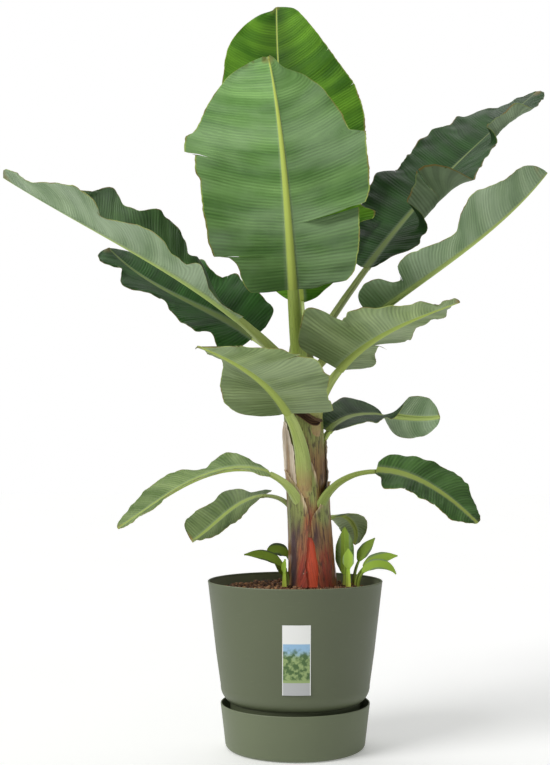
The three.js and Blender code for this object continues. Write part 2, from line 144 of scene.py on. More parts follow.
@dataclass
class Skinner:
    """Gathers points, faces, material numbers and point attributes of one mesh."""

    points: list[Array] = field(default_factory=list)
    faces: list[tuple[int, ...]] = field(default_factory=list)
    skins: list[int] = field(default_factory=list)
    places: list[Array] = field(default_factory=list)
    tints: list[Array] = field(default_factory=list)
    count: int = 0

    def add_points(self, points: Array, places: Array, tints: Array | None = None) -> Array:
        """Adds points.

        Args:
            points: an array (..., 3) in millimetres.
            places: an array (..., 3) that the materials read as the point attribute "place".
            tints: an array (..., 3) for the point attribute "tint".

        Returns:
            Their numbers, in the shape of points without its last axis.
        """
        shape = points.shape[:-1]
        size = int(np.prod(shape))
        self.points.append(points.reshape(size, 3))
        self.places.append(np.broadcast_to(places, points.shape).reshape(size, 3))
        self.tints.append(
            np.zeros((size, 3)) if tints is None else np.asarray(tints).reshape(size, 3)
        )
        numbers = np.arange(self.count, self.count + size).reshape(shape)
        self.count += size
        return numbers

    def add_quads(self, a: Array, b: Array, c: Array, d: Array, skin: int, flip: bool) -> None:
        """Adds a quad for each entry of four arrays of point numbers, turned over if flipped."""
        quads = np.stack([a, b, c, d], axis=-1).reshape(-1, 4)
        if flip:
            quads = quads[:, [0, 3, 2, 1]]
        for quad in quads.tolist():
            corners = tuple(dict.fromkeys(quad))
            if len(corners) > 2:
                self.faces.append(corners)
                self.skins.append(int(skin))

    def add_sheet(self, grid: Array, skin: int, flip: bool, round_it: bool = False) -> None:
        """Adds the quads of a grid of point numbers, closed in its second direction if round_it."""
        if round_it:
            grid = np.concatenate([grid, grid[:, :1]], axis=1)
        self.add_quads(grid[:-1, :-1], grid[:-1, 1:], grid[1:, 1:], grid[1:, :-1], skin, flip)

    def add_shell(self, front: Array, back: Array, flip: bool) -> None:
        """Adds two grids of point numbers as the faces of one thin wall, closed all round."""
        self.add_sheet(front, 0, flip)
        self.add_sheet(back, 0, not flip)
        for f, b, turned in (
            (front[:, 0], back[:, 0], not flip), (front[:, -1], back[:, -1], flip),
            (front[0], back[0], flip), (front[-1], back[-1], not flip),
        ):
            self.add_quads(f[:-1], b[:-1], b[1:], f[1:], 0, turned)

    def add_fan(self, ring: Array, skin: int, flip: bool) -> None:
        """Closes a ring of point numbers with one flat face."""
        corners = ring.tolist()
        self.faces.append(tuple(reversed(corners)) if flip else tuple(corners))
        self.skins.append(int(skin))

    def build(self, name: str, materials: list[Material], crease: float) -> Piece:
        """Makes the Blender object.

        Args:
            name: the piece's name.
            materials: one for each material number.
            crease: edges sharper than this many degrees stay sharp.

        Returns:
            The new object, linked to the scene.
        """
        mesh = bpy.data.meshes.new(name)
        points = np.concatenate(self.points) * MM
        mesh.from_pydata(points.tolist(), [], self.faces)
        for material in materials:
            mesh.materials.append(material)
        mesh.polygons.foreach_set("material_index", self.skins)
        for label, chunks in (("place", self.places), ("tint", self.tints)):
            values = np.concatenate(chunks).astype(np.float32)
            attribute = mesh.attributes.new(label, "FLOAT_VECTOR", "POINT")
            attribute.data.foreach_set("vector", values.ravel())
        mesh.polygons.foreach_set("use_smooth", [True] * len(self.faces))
        mesh.set_sharp_from_angle(angle=math.radians(crease))
        mesh.validate()
        mesh.update()
        piece = bpy.data.objects.new(name, mesh)
        bpy.context.scene.collection.objects.link(piece)
        return piece


def settle(piece: Piece, slot: str, *nodes: str) -> None:
    """Rides a finished piece on the plant and hides the solids it stands for."""
    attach(piece, "root")
    if nodes:
        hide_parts(*nodes)
    LOG.info("%s: %d faces", piece.name, len(piece.data.polygons))


# ---- shader kit


@dataclass
class Wiring:
    """A node tree with short ways to add nodes."""

    tree: bpy.types.NodeTree

    def node(self, kind: str, **settings: object) -> Node:
        """Adds a node and sets its properties."""
        made = self.tree.nodes.new(kind)
        for key, value in settings.items():
            setattr(made, key, value)
        return made

    def feed(self, node: Node, socket: str | int, value: object) -> None:
        """Links an output to an input, or sets the input's own value."""
        target = node.inputs[socket]
        if isinstance(value, Socket):
            self.tree.links.new(value, target)
        elif isinstance(value, tuple) and len(value) == 3 and target.type == "RGBA":
            target.default_value = (*value, 1.0)
        else:
            target.default_value = value

    def sum(self, operation: str, *values: object) -> Socket:
        """A Math node's result."""
        node = self.node("ShaderNodeMath", operation=operation)
        for k, value in enumerate(values):
            self.feed(node, k, value)
        return node.outputs[0]

    def times(self, first: object, second: object) -> Socket:
        """Two values multiplied."""
        return self.sum("MULTIPLY", first, second)

    def span(
        self, value: object, low: float, high: float, to_low: float = 0.0, to_high: float = 1.0
    ) -> Socket:
        """A value carried smoothly from one span to another, and held at its ends."""
        node = self.node("ShaderNodeMapRange", interpolation_type="SMOOTHSTEP")
        for k, given in enumerate((value, low, high, to_low, to_high)):
            self.feed(node, k, given)
        return node.outputs[0]

    def mix(self, share: object, first: object, second: object) -> Socket:
        """A colour between two."""
        node = self.node("ShaderNodeMix", data_type="RGBA")
        self.feed(node, 0, share)
        self.feed(node, 6, first)
        self.feed(node, 7, second)
        return node.outputs[2]

    def scaled(self, colour_value: object, factor: object) -> Socket:
        """A colour made lighter or darker by a factor."""
        node = self.node("ShaderNodeMix", data_type="RGBA", blend_type="MULTIPLY")
        self.feed(node, 0, 1.0)
        self.feed(node, 6, colour_value)
        self.feed(node, 7, factor)
        return node.outputs[2]

    def noise(self, place: object, scale: float, detail: float = 3.0) -> Socket:
        """Soft noise from 0 to 1, with most of it near a half."""
        node = self.node("ShaderNodeTexNoise")
        self.feed(node, "Vector", place)
        self.feed(node, "Scale", scale)
        self.feed(node, "Detail", detail)
        return node.outputs["Fac"]

    def stretched(self, place: object, stretch: Triple) -> Socket:
        """A place multiplied in each direction."""
        node = self.node("ShaderNodeVectorMath", operation="MULTIPLY")
        self.feed(node, 0, place)
        self.feed(node, 1, stretch)
        return node.outputs[0]

    def blots(
        self, place: object, stretch: Triple, detail: float, low: float, high: float, *ends: float
    ) -> Socket:
        """Patches of noise over a stretched place, from 0 at low to 1 at high or between ends."""
        return self.span(self.noise(self.stretched(place, stretch), 1.0, detail), low, high, *ends)

    def attribute(self, name: str) -> Socket:
        """A point attribute's vector."""
        return self.node("ShaderNodeAttribute", attribute_name=name).outputs["Vector"]

    def parts(self, vector: object) -> tuple[Socket, ...]:
        """The three numbers of a vector."""
        node = self.node("ShaderNodeSeparateXYZ")
        self.feed(node, 0, vector)
        return node.outputs[0], node.outputs[1], node.outputs[2]

    def effect(self, name: str, **values: object) -> Sockets:
        """Places a shared effect with its own values, and gives its outputs."""
        node = self.node("ShaderNodeGroup", node_tree=bpy.data.node_groups[name])
        for key, value in values.items():
            self.feed(node, key.replace("_", " "), value)
        return node.outputs


@dataclass
class Effect:
    """A shader node group in the making: named inputs and outputs round a wiring."""

    name: str
    inputs: dict[str, tuple[str, object]]
    outputs: dict[str, str]

    def start(self) -> tuple[Wiring, Sockets, Node]:
        """Makes the group's tree.

        Returns:
            Its wiring, its given values and its output node.
        """
        tree = bpy.data.node_groups.new(self.name, "ShaderNodeTree")
        for label, (kind, value) in self.inputs.items():
            socket = tree.interface.new_socket(label, in_out="INPUT", socket_type=kind)
            if value is not None:
                socket.default_value = value
        for label, kind in self.outputs.items():
            tree.interface.new_socket(label, in_out="OUTPUT", socket_type=kind)
        wiring = Wiring(tree)
        return wiring, wiring.node("NodeGroupInput").outputs, wiring.node("NodeGroupOutput")


FLOAT = "NodeSocketFloat"
VECTOR = "NodeSocketVector"


def make_effects() -> None:
    """Builds the shader effects that several materials share."""
    make_venation()
    make_mottle()
    make_fibres()
    make_moulding()


def make_venation() -> None:
    """Veins that leave the midrib, with masks for the rib and the margin."""
    w, given, result = Effect(
        "venation",
        {"Spacing": (FLOAT, 7.0), "Rib": (FLOAT, 6.0), "Length": (FLOAT, 400.0)},
        {
            "Veins": FLOAT, "Rib Mask": FLOAT, "Rib Side": FLOAT, "Margin": FLOAT,
            "Height": FLOAT, "Bands": FLOAT,
        },
    ).start()
    place = w.attribute("place")
    along, aside, out = w.parts(place)
    away = w.sum("ABSOLUTE", aside)
    wander = w.noise(w.stretched(place, (0.008, 0.012, 0.0)), 1.0, 1.0)
    course = w.sum("ADD", along, w.times(wander, 7.0))
    turns = w.sum("DIVIDE", course, given["Spacing"])
    coarse = w.sum("SINE", w.times(turns, 2 * math.pi))
    fine = w.sum("SINE", w.times(turns, 2 * math.pi * 3.7))
    faint = w.blots(place, (0.05, 0.016, 0.0), 2.0, 0.35, 0.65, 0.08, 0.42)
    veins = w.sum("MULTIPLY_ADD", coarse, faint, w.sum("MULTIPLY_ADD", fine, 0.12, 0.5))
    bands = w.noise(w.stretched(place, (0.035, 0.003, 0.0)), 1.0, 3.0)
    share = w.sum("DIVIDE", along, given["Length"])
    rib_width = w.sum("MAXIMUM", w.times(given["Rib"], w.sum("SUBTRACT", 1.0, share)), 1.2)
    rib = w.span(w.sum("DIVIDE", away, rib_width), 1.25, 0.8)
    w.feed(result, "Veins", veins)
    w.feed(result, "Bands", bands)
    w.feed(result, "Rib Mask", rib)
    w.feed(result, "Rib Side", w.span(w.sum("DIVIDE", away, rib_width), 2.1, 1.1))
    w.feed(result, "Margin", w.span(out, 0.972, 0.995))
    flat = w.sum("SUBTRACT", 1.0, rib)
    w.feed(result, "Height", w.times(veins, flat))


def make_mottle() -> None:
    """Large and small patches that lighten and darken a colour."""
    w, given, result = Effect(
        "mottle",
        {"Place": (VECTOR, None), "Scale": (FLOAT, 1.0), "Contrast": (FLOAT, 0.2)},
        {"Factor": FLOAT, "Patches": FLOAT},
    ).start()
    node = w.node("ShaderNodeTexNoise")
    w.feed(node, "Vector", given["Place"])
    w.feed(node, "Scale", given["Scale"])
    w.feed(node, "Detail", 4.0)
    spread = w.times(w.sum("SUBTRACT", node.outputs["Fac"], 0.5), 2.0)
    w.feed(result, "Factor", w.sum("MULTIPLY_ADD", spread, given["Contrast"], 1.0))
    w.feed(result, "Patches", w.span(node.outputs["Fac"], 0.38, 0.66))


def make_fibres() -> None:
    """Fine lengthwise fibres for stalks, sheaths and dry paper."""
    w, given, result = Effect(
        "fibres",
        {"Width": (FLOAT, 1.5), "Length": (FLOAT, 60.0)},
        {"Streaks": FLOAT, "Height": FLOAT},
    ).start()
    place = w.attribute("place")
    along, around, _ = w.parts(place)
    joined = w.node("ShaderNodeCombineXYZ")
    w.feed(joined, 0, w.sum("DIVIDE", along, given["Length"]))
    w.feed(joined, 1, w.sum("DIVIDE", around, given["Width"]))
    streaks = w.noise(joined.outputs[0], 1.0, 4.0)
    w.feed(result, "Streaks", w.span(streaks, 0.3, 0.7))
    w.feed(result, "Height", streaks)


def make_moulding() -> None:
    """The fine matt grain of moulded plastic, with faint scuffs."""
    w, given, result = Effect(
        "moulding",
        {"Grain": (FLOAT, 900.0)},
        {"Height": FLOAT, "Scuffs": FLOAT, "Cloud": FLOAT},
    ).start()
    place = w.node("ShaderNodeTexCoord").outputs["Object"]
    node = w.node("ShaderNodeTexNoise")
    w.feed(node, "Vector", place)
    w.feed(node, "Scale", given["Grain"])
    w.feed(node, "Detail", 2.0)
    w.feed(result, "Height", node.outputs["Fac"])
    w.feed(result, "Cloud", w.noise(place, 9.0, 3.0))
    scraped = w.noise(w.stretched(place, (1.0, 1.0, 9.0)), 60.0, 5.0)
    w.feed(result, "Scuffs", w.span(scraped, 0.62, 0.8))


def new_material(name: str) -> tuple[Material, Wiring, Node]:
    """A material with only a Principled shader and its output.

    Returns:
        The material, its wiring and the shader node.
    """
    material = bpy.data.materials.new(name)
    material.use_nodes = True
    material.node_tree.nodes.clear()
    w = Wiring(material.node_tree)
    shader = w.node("ShaderNodeBsdfPrincipled")
    output = w.node("ShaderNodeOutputMaterial")
    w.feed(output, "Surface", shader.outputs[0])
    return material, w, shader


def bump(w: Wiring, shader: Node, height: object, depth: float, strength: float) -> None:
    """Feeds a height to the shader's normal, with its depth in metres."""
    node = w.node("ShaderNodeBump")
    w.feed(node, "Height", height)
    w.feed(node, "Distance", depth)
    w.feed(node, "Strength", strength)
    w.feed(shader, "Normal", node.outputs[0])


# ---- finishes

# A pale colour for the underside: partly the leaf's own waxy coating, partly painted sheen.
WAX_AND_SHEEN = colour(192, 206, 186)


@dataclass(frozen=True)
class BladeFinish:
    """How the two faces of a leaf blade look."""

    name: str
    upper: Colour
    upper_deep: Colour
    under: Colour
    under_deep: Colour
    rib: Colour
    margin: Colour
    upper_roughness: float = 0.5
    under_roughness: float = 0.62
    # How much of that pale colour lies in patches on the underside: partly waxy coating, partly
    # painted sheen.
    bloom_and_sheen: float = 0.2
    # Painted shade on the upper face beside the midrib, as the colour's multiplier there; 1 is
    # none.
    rib_fold_shade: float = 1.0

    def materials(self) -> list[Material]:
        """The materials of the upper face, the underside and the margin."""
        return [
            self.face("upper", self.upper, self.upper_deep, self.upper_roughness, 0.2, 0.0),
            self.face("under", self.under, self.under_deep, self.under_roughness, 0.19, self.bloom_and_sheen),
            self.edge(),
        ]

    def face(
        self, side: str, light: Colour, deep: Colour, roughness: float, vein: float, bloom_and_sheen: float
    ) -> Material:
        """One face's material.

        Args:
            side: which face, as it is in the material's name.
            light: the lighter green.
            deep: the darker green.
            roughness: the middle roughness.
            vein: how far the veins lighten and darken it.
            bloom_and_sheen: how much pale waxy coating and painted sheen lie on it in patches.

        Returns:
            The material, with veins, rib and a dry margin.
        """
        material, w, shader = new_material(f"{self.name}_{side}")
        tone = w.parts(w.attribute("tint"))
        veins = w.effect("venation", Spacing=5.0, Rib=8.0, Length=420.0)
        place = w.attribute("place")
        patches = w.effect("mottle", Place=place, Scale=0.011, Contrast=0.1)
        share = w.sum(
            "MULTIPLY_ADD",
            w.span(veins["Bands"], 0.35, 0.66),
            0.7,
            w.times(patches["Patches"], 0.3),
        )
        lamina = w.mix(share, deep, light)
        lamina = w.scaled(lamina, patches["Factor"])
        lamina = w.scaled(lamina, w.span(veins["Veins"], 0.0, 1.0, 1 - vein, 1 + vein))
        speck = w.blots(place, (0.1, 0.35, 0.0), 5.0, 0.66, 0.8)
        lamina = w.mix(w.times(speck, 0.25), lamina, self.rib)
        # Pale patches: partly waxy coating, partly painted sheen.
        wax_and_sheen = w.blots(place, (0.014, 0.006, 0.0), 4.0, 0.4, 0.66)
        lamina = w.mix(w.times(wax_and_sheen, bloom_and_sheen), lamina, WAX_AND_SHEEN)
        # Painted shade in the fold beside the midrib, on the upper face only.
        if side == "upper" and self.rib_fold_shade < 1:
            _, _, out = w.parts(place)
            lamina = w.scaled(lamina, w.span(out, 0.1, 0.6, self.rib_fold_shade, 1.0))
        lamina = w.mix(w.times(veins["Rib Side"], 0.38), lamina, colour(172, 190, 150))
        # The tint's first value lightens and darkens the blade, partly as painted light and shade.
        lamina = w.scaled(lamina, tone[0])
        # The midrib takes about half of that painted light and shade.
        rib = w.scaled(self.rib, w.sum("MULTIPLY_ADD", tone[0], 0.45, 0.55))
        dressed = w.mix(w.times(veins["Rib Mask"], 0.9), lamina, rib)
        dressed = w.mix(w.times(w.span(veins["Margin"], 0.35, 0.9), 0.55), dressed, rib)
        dry = w.times(
            w.sum("MAXIMUM", veins["Margin"], tone[1]),
            w.blots(place, (0.035, 0.035, 0.0), 4.0, 0.44, 0.58),
        )
        w.feed(shader, "Base Color", w.mix(dry, dressed, self.margin))
        w.feed(
            shader,
            "Roughness",
            w.span(patches["Patches"], 0.0, 1.0, roughness - 0.05, roughness + 0.07),
        )
        w.feed(shader, "Specular IOR Level", 0.15)
        bump(w, shader, veins["Height"], 0.0009, 0.7)
        return material

    def edge(self) -> Material:
        """The cut edge all round the blade."""
        material, w, shader = new_material(f"{self.name}_margin")
        place = w.attribute("place")
        dry = w.blots(place, (0.05, 0.05, 0.0), 3.0, 0.4, 0.6)
        w.feed(shader, "Base Color", w.mix(dry, self.rib, self.margin))
        w.feed(shader, "Roughness", 0.65)
        bump(w, shader, w.noise(place, 0.6, 2.0), 0.0003, 0.4)
        return material


@dataclass(frozen=True)
class StalkFinish:
    """How a leaf stalk looks: one green with darker streaks and a flushed base."""

    name: str
    green: Colour
    streak: Colour
    base: Colour

    def material(self) -> Material:
        """The stalk's material."""
        material, w, shader = new_material(self.name)
        fibres = w.effect("fibres", Width=2.2, Length=70.0)
        place = w.attribute("place")
        along, _, _ = w.parts(place)
        tone = w.parts(w.attribute("tint"))
        body = w.mix(w.times(fibres["Streaks"], 0.7), self.green, self.streak)
        flush = w.times(w.span(along, 46.0, -22.0), w.span(w.noise(place, 0.05), 0.2, 0.5))
        body = w.mix(flush, body, self.base)
        blot = w.blots(place, (0.05, 0.2, 0.0), 5.0, 0.5, 0.64)
        blot = w.times(blot, w.span(along, 8.0, -30.0))
        body = w.mix(w.times(blot, 0.75), body, colour(76, 50, 36))
        fleck = w.blots(place, (0.12, 0.5, 0.0), 4.0, 0.6, 0.72)
        body = w.mix(w.times(fleck, 0.4), body, colour(84, 62, 44))
        w.feed(shader, "Base Color", w.scaled(body, tone[0]))
        w.feed(shader, "Roughness", w.span(fibres["Streaks"], 0.0, 1.0, 0.36, 0.52))
        bump(w, shader, fibres["Height"], 0.0009, 0.6)
        return material


@dataclass(frozen=True)
class SheathFinish:
    """How the layered stem looks, from its tints: flushed red, waxy purple and young green."""

    name: str = "stem_sheath"
    tan: Colour = colour(176, 140, 84)
    tan_dark: Colour = colour(112, 76, 52)
    red: Colour = colour(170, 64, 42)
    purple: Colour = colour(78, 46, 50)
    green: Colour = colour(148, 156, 84)
    paper: Colour = colour(226, 208, 172)
    paper_dark: Colour = colour(158, 126, 88)
    marks: float = 1.0

    def material(self) -> Material:
        """The sheaths' material."""
        material, w, shader = new_material(self.name)
        red, purple, green = w.parts(w.attribute("tint"))
        place = w.attribute("place")
        _, _, paper = w.parts(place)
        fibres = w.effect("fibres", Width=1.8, Length=55.0)
        streaks = fibres["Streaks"]
        body = w.mix(streaks, self.tan, self.tan_dark)
        ragged = w.blots(place, (0.03, 0.12, 0.0), 4.0, 0.3, 0.7, -0.25, 0.25)
        for amount, tone in ((green, self.green), (red, self.red), (purple, self.purple)):
            share = w.span(w.sum("ADD", amount, w.times(ragged, amount)), 0.1, 0.85)
            body = w.mix(share, body, w.scaled(tone, w.span(streaks, 0.0, 1.0, 1.12, 0.8)))
        blot = w.blots(place, (0.05, 0.2, 0.0), 5.0, 0.52, 0.66)
        body = w.mix(w.times(blot, 0.7 * self.marks), body, colour(60, 36, 30))
        fleck = w.blots(place, (0.3, 0.6, 0.0), 3.0, 0.62, 0.7)
        body = w.mix(w.times(fleck, 0.6 * self.marks), body, colour(40, 24, 22))
        dry = w.mix(streaks, self.paper, self.paper_dark)
        body = w.mix(paper, body, dry)
        w.feed(shader, "Base Color", body)
        w.feed(shader, "Roughness", w.span(paper, 0.0, 1.0, 0.42, 0.75))
        w.feed(shader, "Coat Weight", w.times(w.sum("SUBTRACT", 1.0, paper), 0.15))
        bump(w, shader, fibres["Height"], 0.0012, 0.7)
        return material


@dataclass(frozen=True)
class PlasticFinish:
    """Matt moulded plastic, with pale scuffs and, in the same pale colour, painted light on its
    rims and insides.
    """

    name: str
    tone: Colour
    # The pale colour of the scuffs, also painted as a highlight on the rim and as light on the
    # inside.
    wear_and_painted_light: Colour
    roughness: float = 0.5

    def material(self) -> Material:
        """The plastic's material."""
        material, w, shader = new_material(self.name)
        grain = w.effect("moulding", Grain=1400.0)
        body = w.scaled(self.tone, w.span(grain["Cloud"], 0.3, 0.7, 0.965, 1.035))
        body = w.mix(w.times(grain["Scuffs"], 0.12), body, self.wear_and_painted_light)
        # Painted highlight on the rim's top and painted light on the inside, in the pale colour.
        _, _, lip = w.parts(w.attribute("place"))
        body = w.mix(w.times(lip, 0.55), body, self.wear_and_painted_light)
        w.feed(shader, "Base Color", body)
        w.feed(
            shader,
            "Roughness",
            w.span(grain["Cloud"], 0.3, 0.7, self.roughness - 0.04, self.roughness + 0.05),
        )
        bump(w, shader, grain["Height"], 0.00025, 0.35)
        return material


@dataclass(frozen=True)
class SoilFinish:
    """Moist peat and bark."""

    name: str
    crumb: Colour
    deep: Colour
    fibre: Colour

    def material(self) -> Material:
        """The soil's material."""
        material, w, shader = new_material(self.name)
        place = w.node("ShaderNodeTexCoord").outputs["Object"]
        tone = w.parts(w.attribute("tint"))
        patches = w.effect("mottle", Place=place, Scale=160.0, Contrast=0.5)
        body = w.mix(patches["Patches"], self.deep, self.crumb)
        body = w.mix(w.times(tone[1], 0.85), body, self.fibre)
        body = w.scaled(body, w.times(patches["Factor"], tone[0]))
        w.feed(shader, "Base Color", body)
        w.feed(shader, "Roughness", w.span(patches["Patches"], 0.0, 1.0, 0.75, 0.95))
        bump(w, shader, w.noise(place, 900.0, 4.0), 0.0012, 0.8)
        return material


@dataclass(frozen=True)
class LabelFinish:
    """A printed film: a white head, a soft garden-coloured field and a pale foot."""

    name: str = "label_film"
    white: Colour = colour(240, 241, 238)
    sky: Colour = colour(150, 190, 222)
    leaf: Colour = colour(72, 104, 52)
    bright: Colour = colour(150, 172, 110)
    grey: Colour = colour(182, 184, 184)

    def material(self) -> Material:
        """The film's material."""
        material, w, shader = new_material(self.name)
        place = w.attribute("place")
        across, up, _ = w.parts(place)
        blots = w.noise(w.stretched(place, (0.12, 0.12, 0.0)), 1.0, 3.0)
        field_colour = w.mix(w.span(blots, 0.42, 0.6), self.leaf, self.bright)
        high = w.span(w.sum("MULTIPLY_ADD", blots, 30.0, up), 74.0, 92.0)
        field_colour = w.mix(high, field_colour, self.sky)
        low = w.span(w.sum("MULTIPLY_ADD", blots, 12.0, up), 32.0, 28.0)
        field_colour = w.mix(low, field_colour, self.bright)
        body = w.mix(w.span(up, 20.2, 19.8), field_colour, self.grey)
        body = w.mix(w.span(up, 81.8, 82.2), body, self.white)
        border = w.sum("GREATER_THAN", w.sum("ABSOLUTE", across), 21.3)
        w.feed(shader, "Base Color", w.mix(border, body, self.white))
        w.feed(shader, "Roughness", w.span(blots, 0.3, 0.7, 0.3, 0.36))
        bump(w, shader, w.noise(place, 0.35, 2.0), 0.0001, 0.3)
        return material


YOUNG = BladeFinish(
    "young_leaf",
    upper=colour(116, 170, 46), upper_deep=colour(66, 116, 26),
    under=colour(134, 176, 104), under_deep=colour(86, 128, 62),
    rib=colour(194, 210, 98), margin=colour(134, 128, 66),
    rib_fold_shade=0.6,
)
BROAD = BladeFinish(
    "broad_leaf",
    upper=colour(84, 118, 66), upper_deep=colour(50, 78, 40),
    under=colour(156, 178, 140), under_deep=colour(114, 140, 100),
    rib=colour(176, 196, 108), margin=colour(132, 112, 64),
)
DUSKY = BladeFinish(
    "dusky_leaf",
    upper=colour(60, 104, 46), upper_deep=colour(38, 70, 28),
    under=colour(150, 172, 134), under_deep=colour(112, 134, 98),
    rib=colour(132, 152, 84), margin=colour(132, 112, 64),
)
SHADED = BladeFinish(
    "shaded_leaf",
    upper=colour(84, 116, 64), upper_deep=colour(54, 80, 42),
    under=colour(164, 184, 128), under_deep=colour(120, 142, 88),
    rib=colour(176, 194, 96), margin=colour(128, 108, 60),
)
LOW = BladeFinish(
    "low_leaf",
    upper=colour(104, 148, 78), upper_deep=colour(58, 92, 40),
    under=colour(172, 190, 142), under_deep=colour(128, 150, 96),
    rib=colour(176, 194, 96), margin=colour(150, 124, 62),
)
PALE_LOW = BladeFinish(
    "pale_low_leaf",
    upper=colour(142, 162, 104), upper_deep=colour(92, 116, 62),
    under=colour(168, 184, 140), under_deep=colour(126, 146, 96),
    rib=colour(166, 184, 96), margin=colour(150, 124, 62),
)
SUCKER = BladeFinish(
    "sucker_leaf",
    upper=colour(84, 118, 40), upper_deep=colour(48, 76, 20),
    under=colour(110, 144, 60), under_deep=colour(72, 104, 34),
    rib=colour(150, 180, 62), margin=colour(122, 132, 50),
)


# ---- leaves


@dataclass(frozen=True)
class Strip:
    """A strip of a blade's half, from where it starts along the blade to the next one.

    The split at its start runs in from the margin to the share `cut` of the half's width, and 1
    is no split. `bend` is how many degrees the strip's margin turns up beyond the rest at its
    start, and `bend_to` at its end. `lift` raises the strip's start in millimetres.
    """

    start: float
    cut: float = 1.0
    bend: float = 0.0
    bend_to: float = 0.0
    lift: float = 0.0
    lift_to: float = 0.0


@dataclass(frozen=True)
class Roll:
    """A stretch of margin that curls over: beyond `inner` of the width it turns by `angle`."""

    half: Half
    start: float
    end: float
    inner: float
    angle: float
    soft: float = 0.2
    fade: float = 0.12


@dataclass(frozen=True)
class Twist:
    """A blade's turn about its midrib, from one place along it to another, in degrees."""

    start: float
    end: float
    angle: float


@dataclass(frozen=True)
class Outline:
    """A half's margin: places along the blade, and its distance from the midrib at each of them.

    Places are thousandths of the blade's length, and distances thousandths of its half width.
    """

    stops: tuple[tuple[int, int], ...]

    def width(self, t: Array) -> Array:
        """The shares at t, on a smooth curve that never overshoots its stops."""
        places, shares = np.array(self.stops).T / 1000
        slopes = np.diff(shares) / np.diff(places)
        tangents = np.zeros(len(shares))
        same = slopes[:-1] * slopes[1:] > 0
        tangents[1:-1][same] = (
            2 * slopes[:-1][same] * slopes[1:][same] / (slopes[:-1][same] + slopes[1:][same])
        )
        tangents[0], tangents[-1] = 2 * slopes[0], 2 * slopes[-1]
        t = np.clip(t, 0, 1)
        k = np.clip(np.searchsorted(places, t, side="right") - 1, 0, len(slopes) - 1)
        step = places[k + 1] - places[k]
        x = (t - places[k]) / step
        return (
            shares[k] * (1 + 2 * x) * (1 - x) ** 2
            + tangents[k] * step * x * (1 - x) ** 2
            + shares[k + 1] * x * x * (3 - 2 * x)
            + tangents[k + 1] * step * x * x * (x - 1)
        )


@dataclass(frozen=True)
class Growth:
    """How a leaf grows: the terms are those of the frame's own leaf solids.

    `heading`, `pitch` and `sway` are degrees at its base, middle and tip. A leaf rises from the
    stem at `height`, `offset` out from its axis, or from the soil at `foot`.
    """

    length: float
    stalk: float
    heading: Triple
    pitch: Triple
    half_width: float
    right_fold: Triple
    left_fold: Triple
    height: float = 0.0
    offset: float = 24.0
    foot: Pair | None = None
    sway: Triple = (0.0, 0.0, 0.0)
    widest: float = 0.9
    bluntness: Pair = (2.2, 2.2)
    stalk_width: Pair = (9.0, 6.0)
    stalk_depth: Pair = (16.0, 12.0)
    wave: Triple = (0.0, 1.0, 0.0)


SPINE_STEPS = 60
# The columns across half a midrib, as shares of its own half width.
RIB_COLUMNS = np.array([0.0, 0.35, 0.7, 1.0])
# How far a half turns down from its midrib to its margin.
CURL = math.radians(-8.0)
# The longest waves of the ragged margin and of the blade, in millimetres.
NICK = 12.0
WAVE = 90.0
# How far each edge of a split draws back at the margin.
SPLIT_GAP = 0.9
# How far a stalk hangs below its middle, as a share of its depth.
SOLE = 0.72
# Half the blade's thickness beside the midrib and at the margin.
LAMINA = (0.55, 0.3)


@dataclass
class Stem:
    """The stem's axis, read from the frame, and its outer radius."""

    foot: Array = field(default_factory=lambda: np.zeros(3))
    top: Array = field(default_factory=lambda: np.zeros(3))
    soil_crown: float = 0.0
    radius: float = 33.5
    flare: float = 6.5
    flare_height: float = 55.0
    taper_start: float = 0.8
    top_radius: float = 15.0

    def __post_init__(self) -> None:
        """Takes the axis from the lowest and highest rings of the stem's solid."""
        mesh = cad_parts["pseudostem"].data
        points = np.empty(3 * len(mesh.vertices))
        mesh.vertices.foreach_get("co", points)
        points = points.reshape(-1, 3) / MM
        low, high = points[:, 2].min(), points[:, 2].max()
        self.foot = self.ring_centre(points[points[:, 2] < low + 0.5])
        self.top = self.ring_centre(points[points[:, 2] > high - 0.5])
        self.soil_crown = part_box("soil")[1][2] / MM

    @staticmethod
    def ring_centre(ring: Array) -> Array:
        """The middle of the box round a ring of points."""
        return (ring.min(axis=0) + ring.max(axis=0)) / 2

    def axis(self, height: Array) -> Array:
        """The axis's points at some heights."""
        share = (np.asarray(height, float) - self.foot[2]) / (self.top[2] - self.foot[2])
        return self.foot + (self.top - self.foot) * share[..., None]

    def outer(self, height: Array) -> Array:
        """The outer radius at some heights."""
        height = np.asarray(height, float)
        share = (height - self.foot[2]) / (self.top[2] - self.foot[2])
        body = self.radius + self.flare * np.exp((self.foot[2] - height) / self.flare_height)
        k = np.clip((share - self.taper_start) / (1 - self.taper_start), 0, 1)
        return blend(body, self.top_radius, k)

    def wall(self, height: Array, angle: Array, away: Array) -> Array:
        """Points round the stem.

        Args:
            height: heights in millimetres.
            angle: angles in degrees, where -90 is the front.
            away: how far outside the stem's outer radius.

        Returns:
            An array with the arguments' shape and three coordinates.
        """
        turn = np.radians(angle)
        radius = self.outer(height) + away
        ring = stacked(np.cos(turn), np.sin(turn), 0.0)
        return self.axis(height) + ring * radius[..., None]


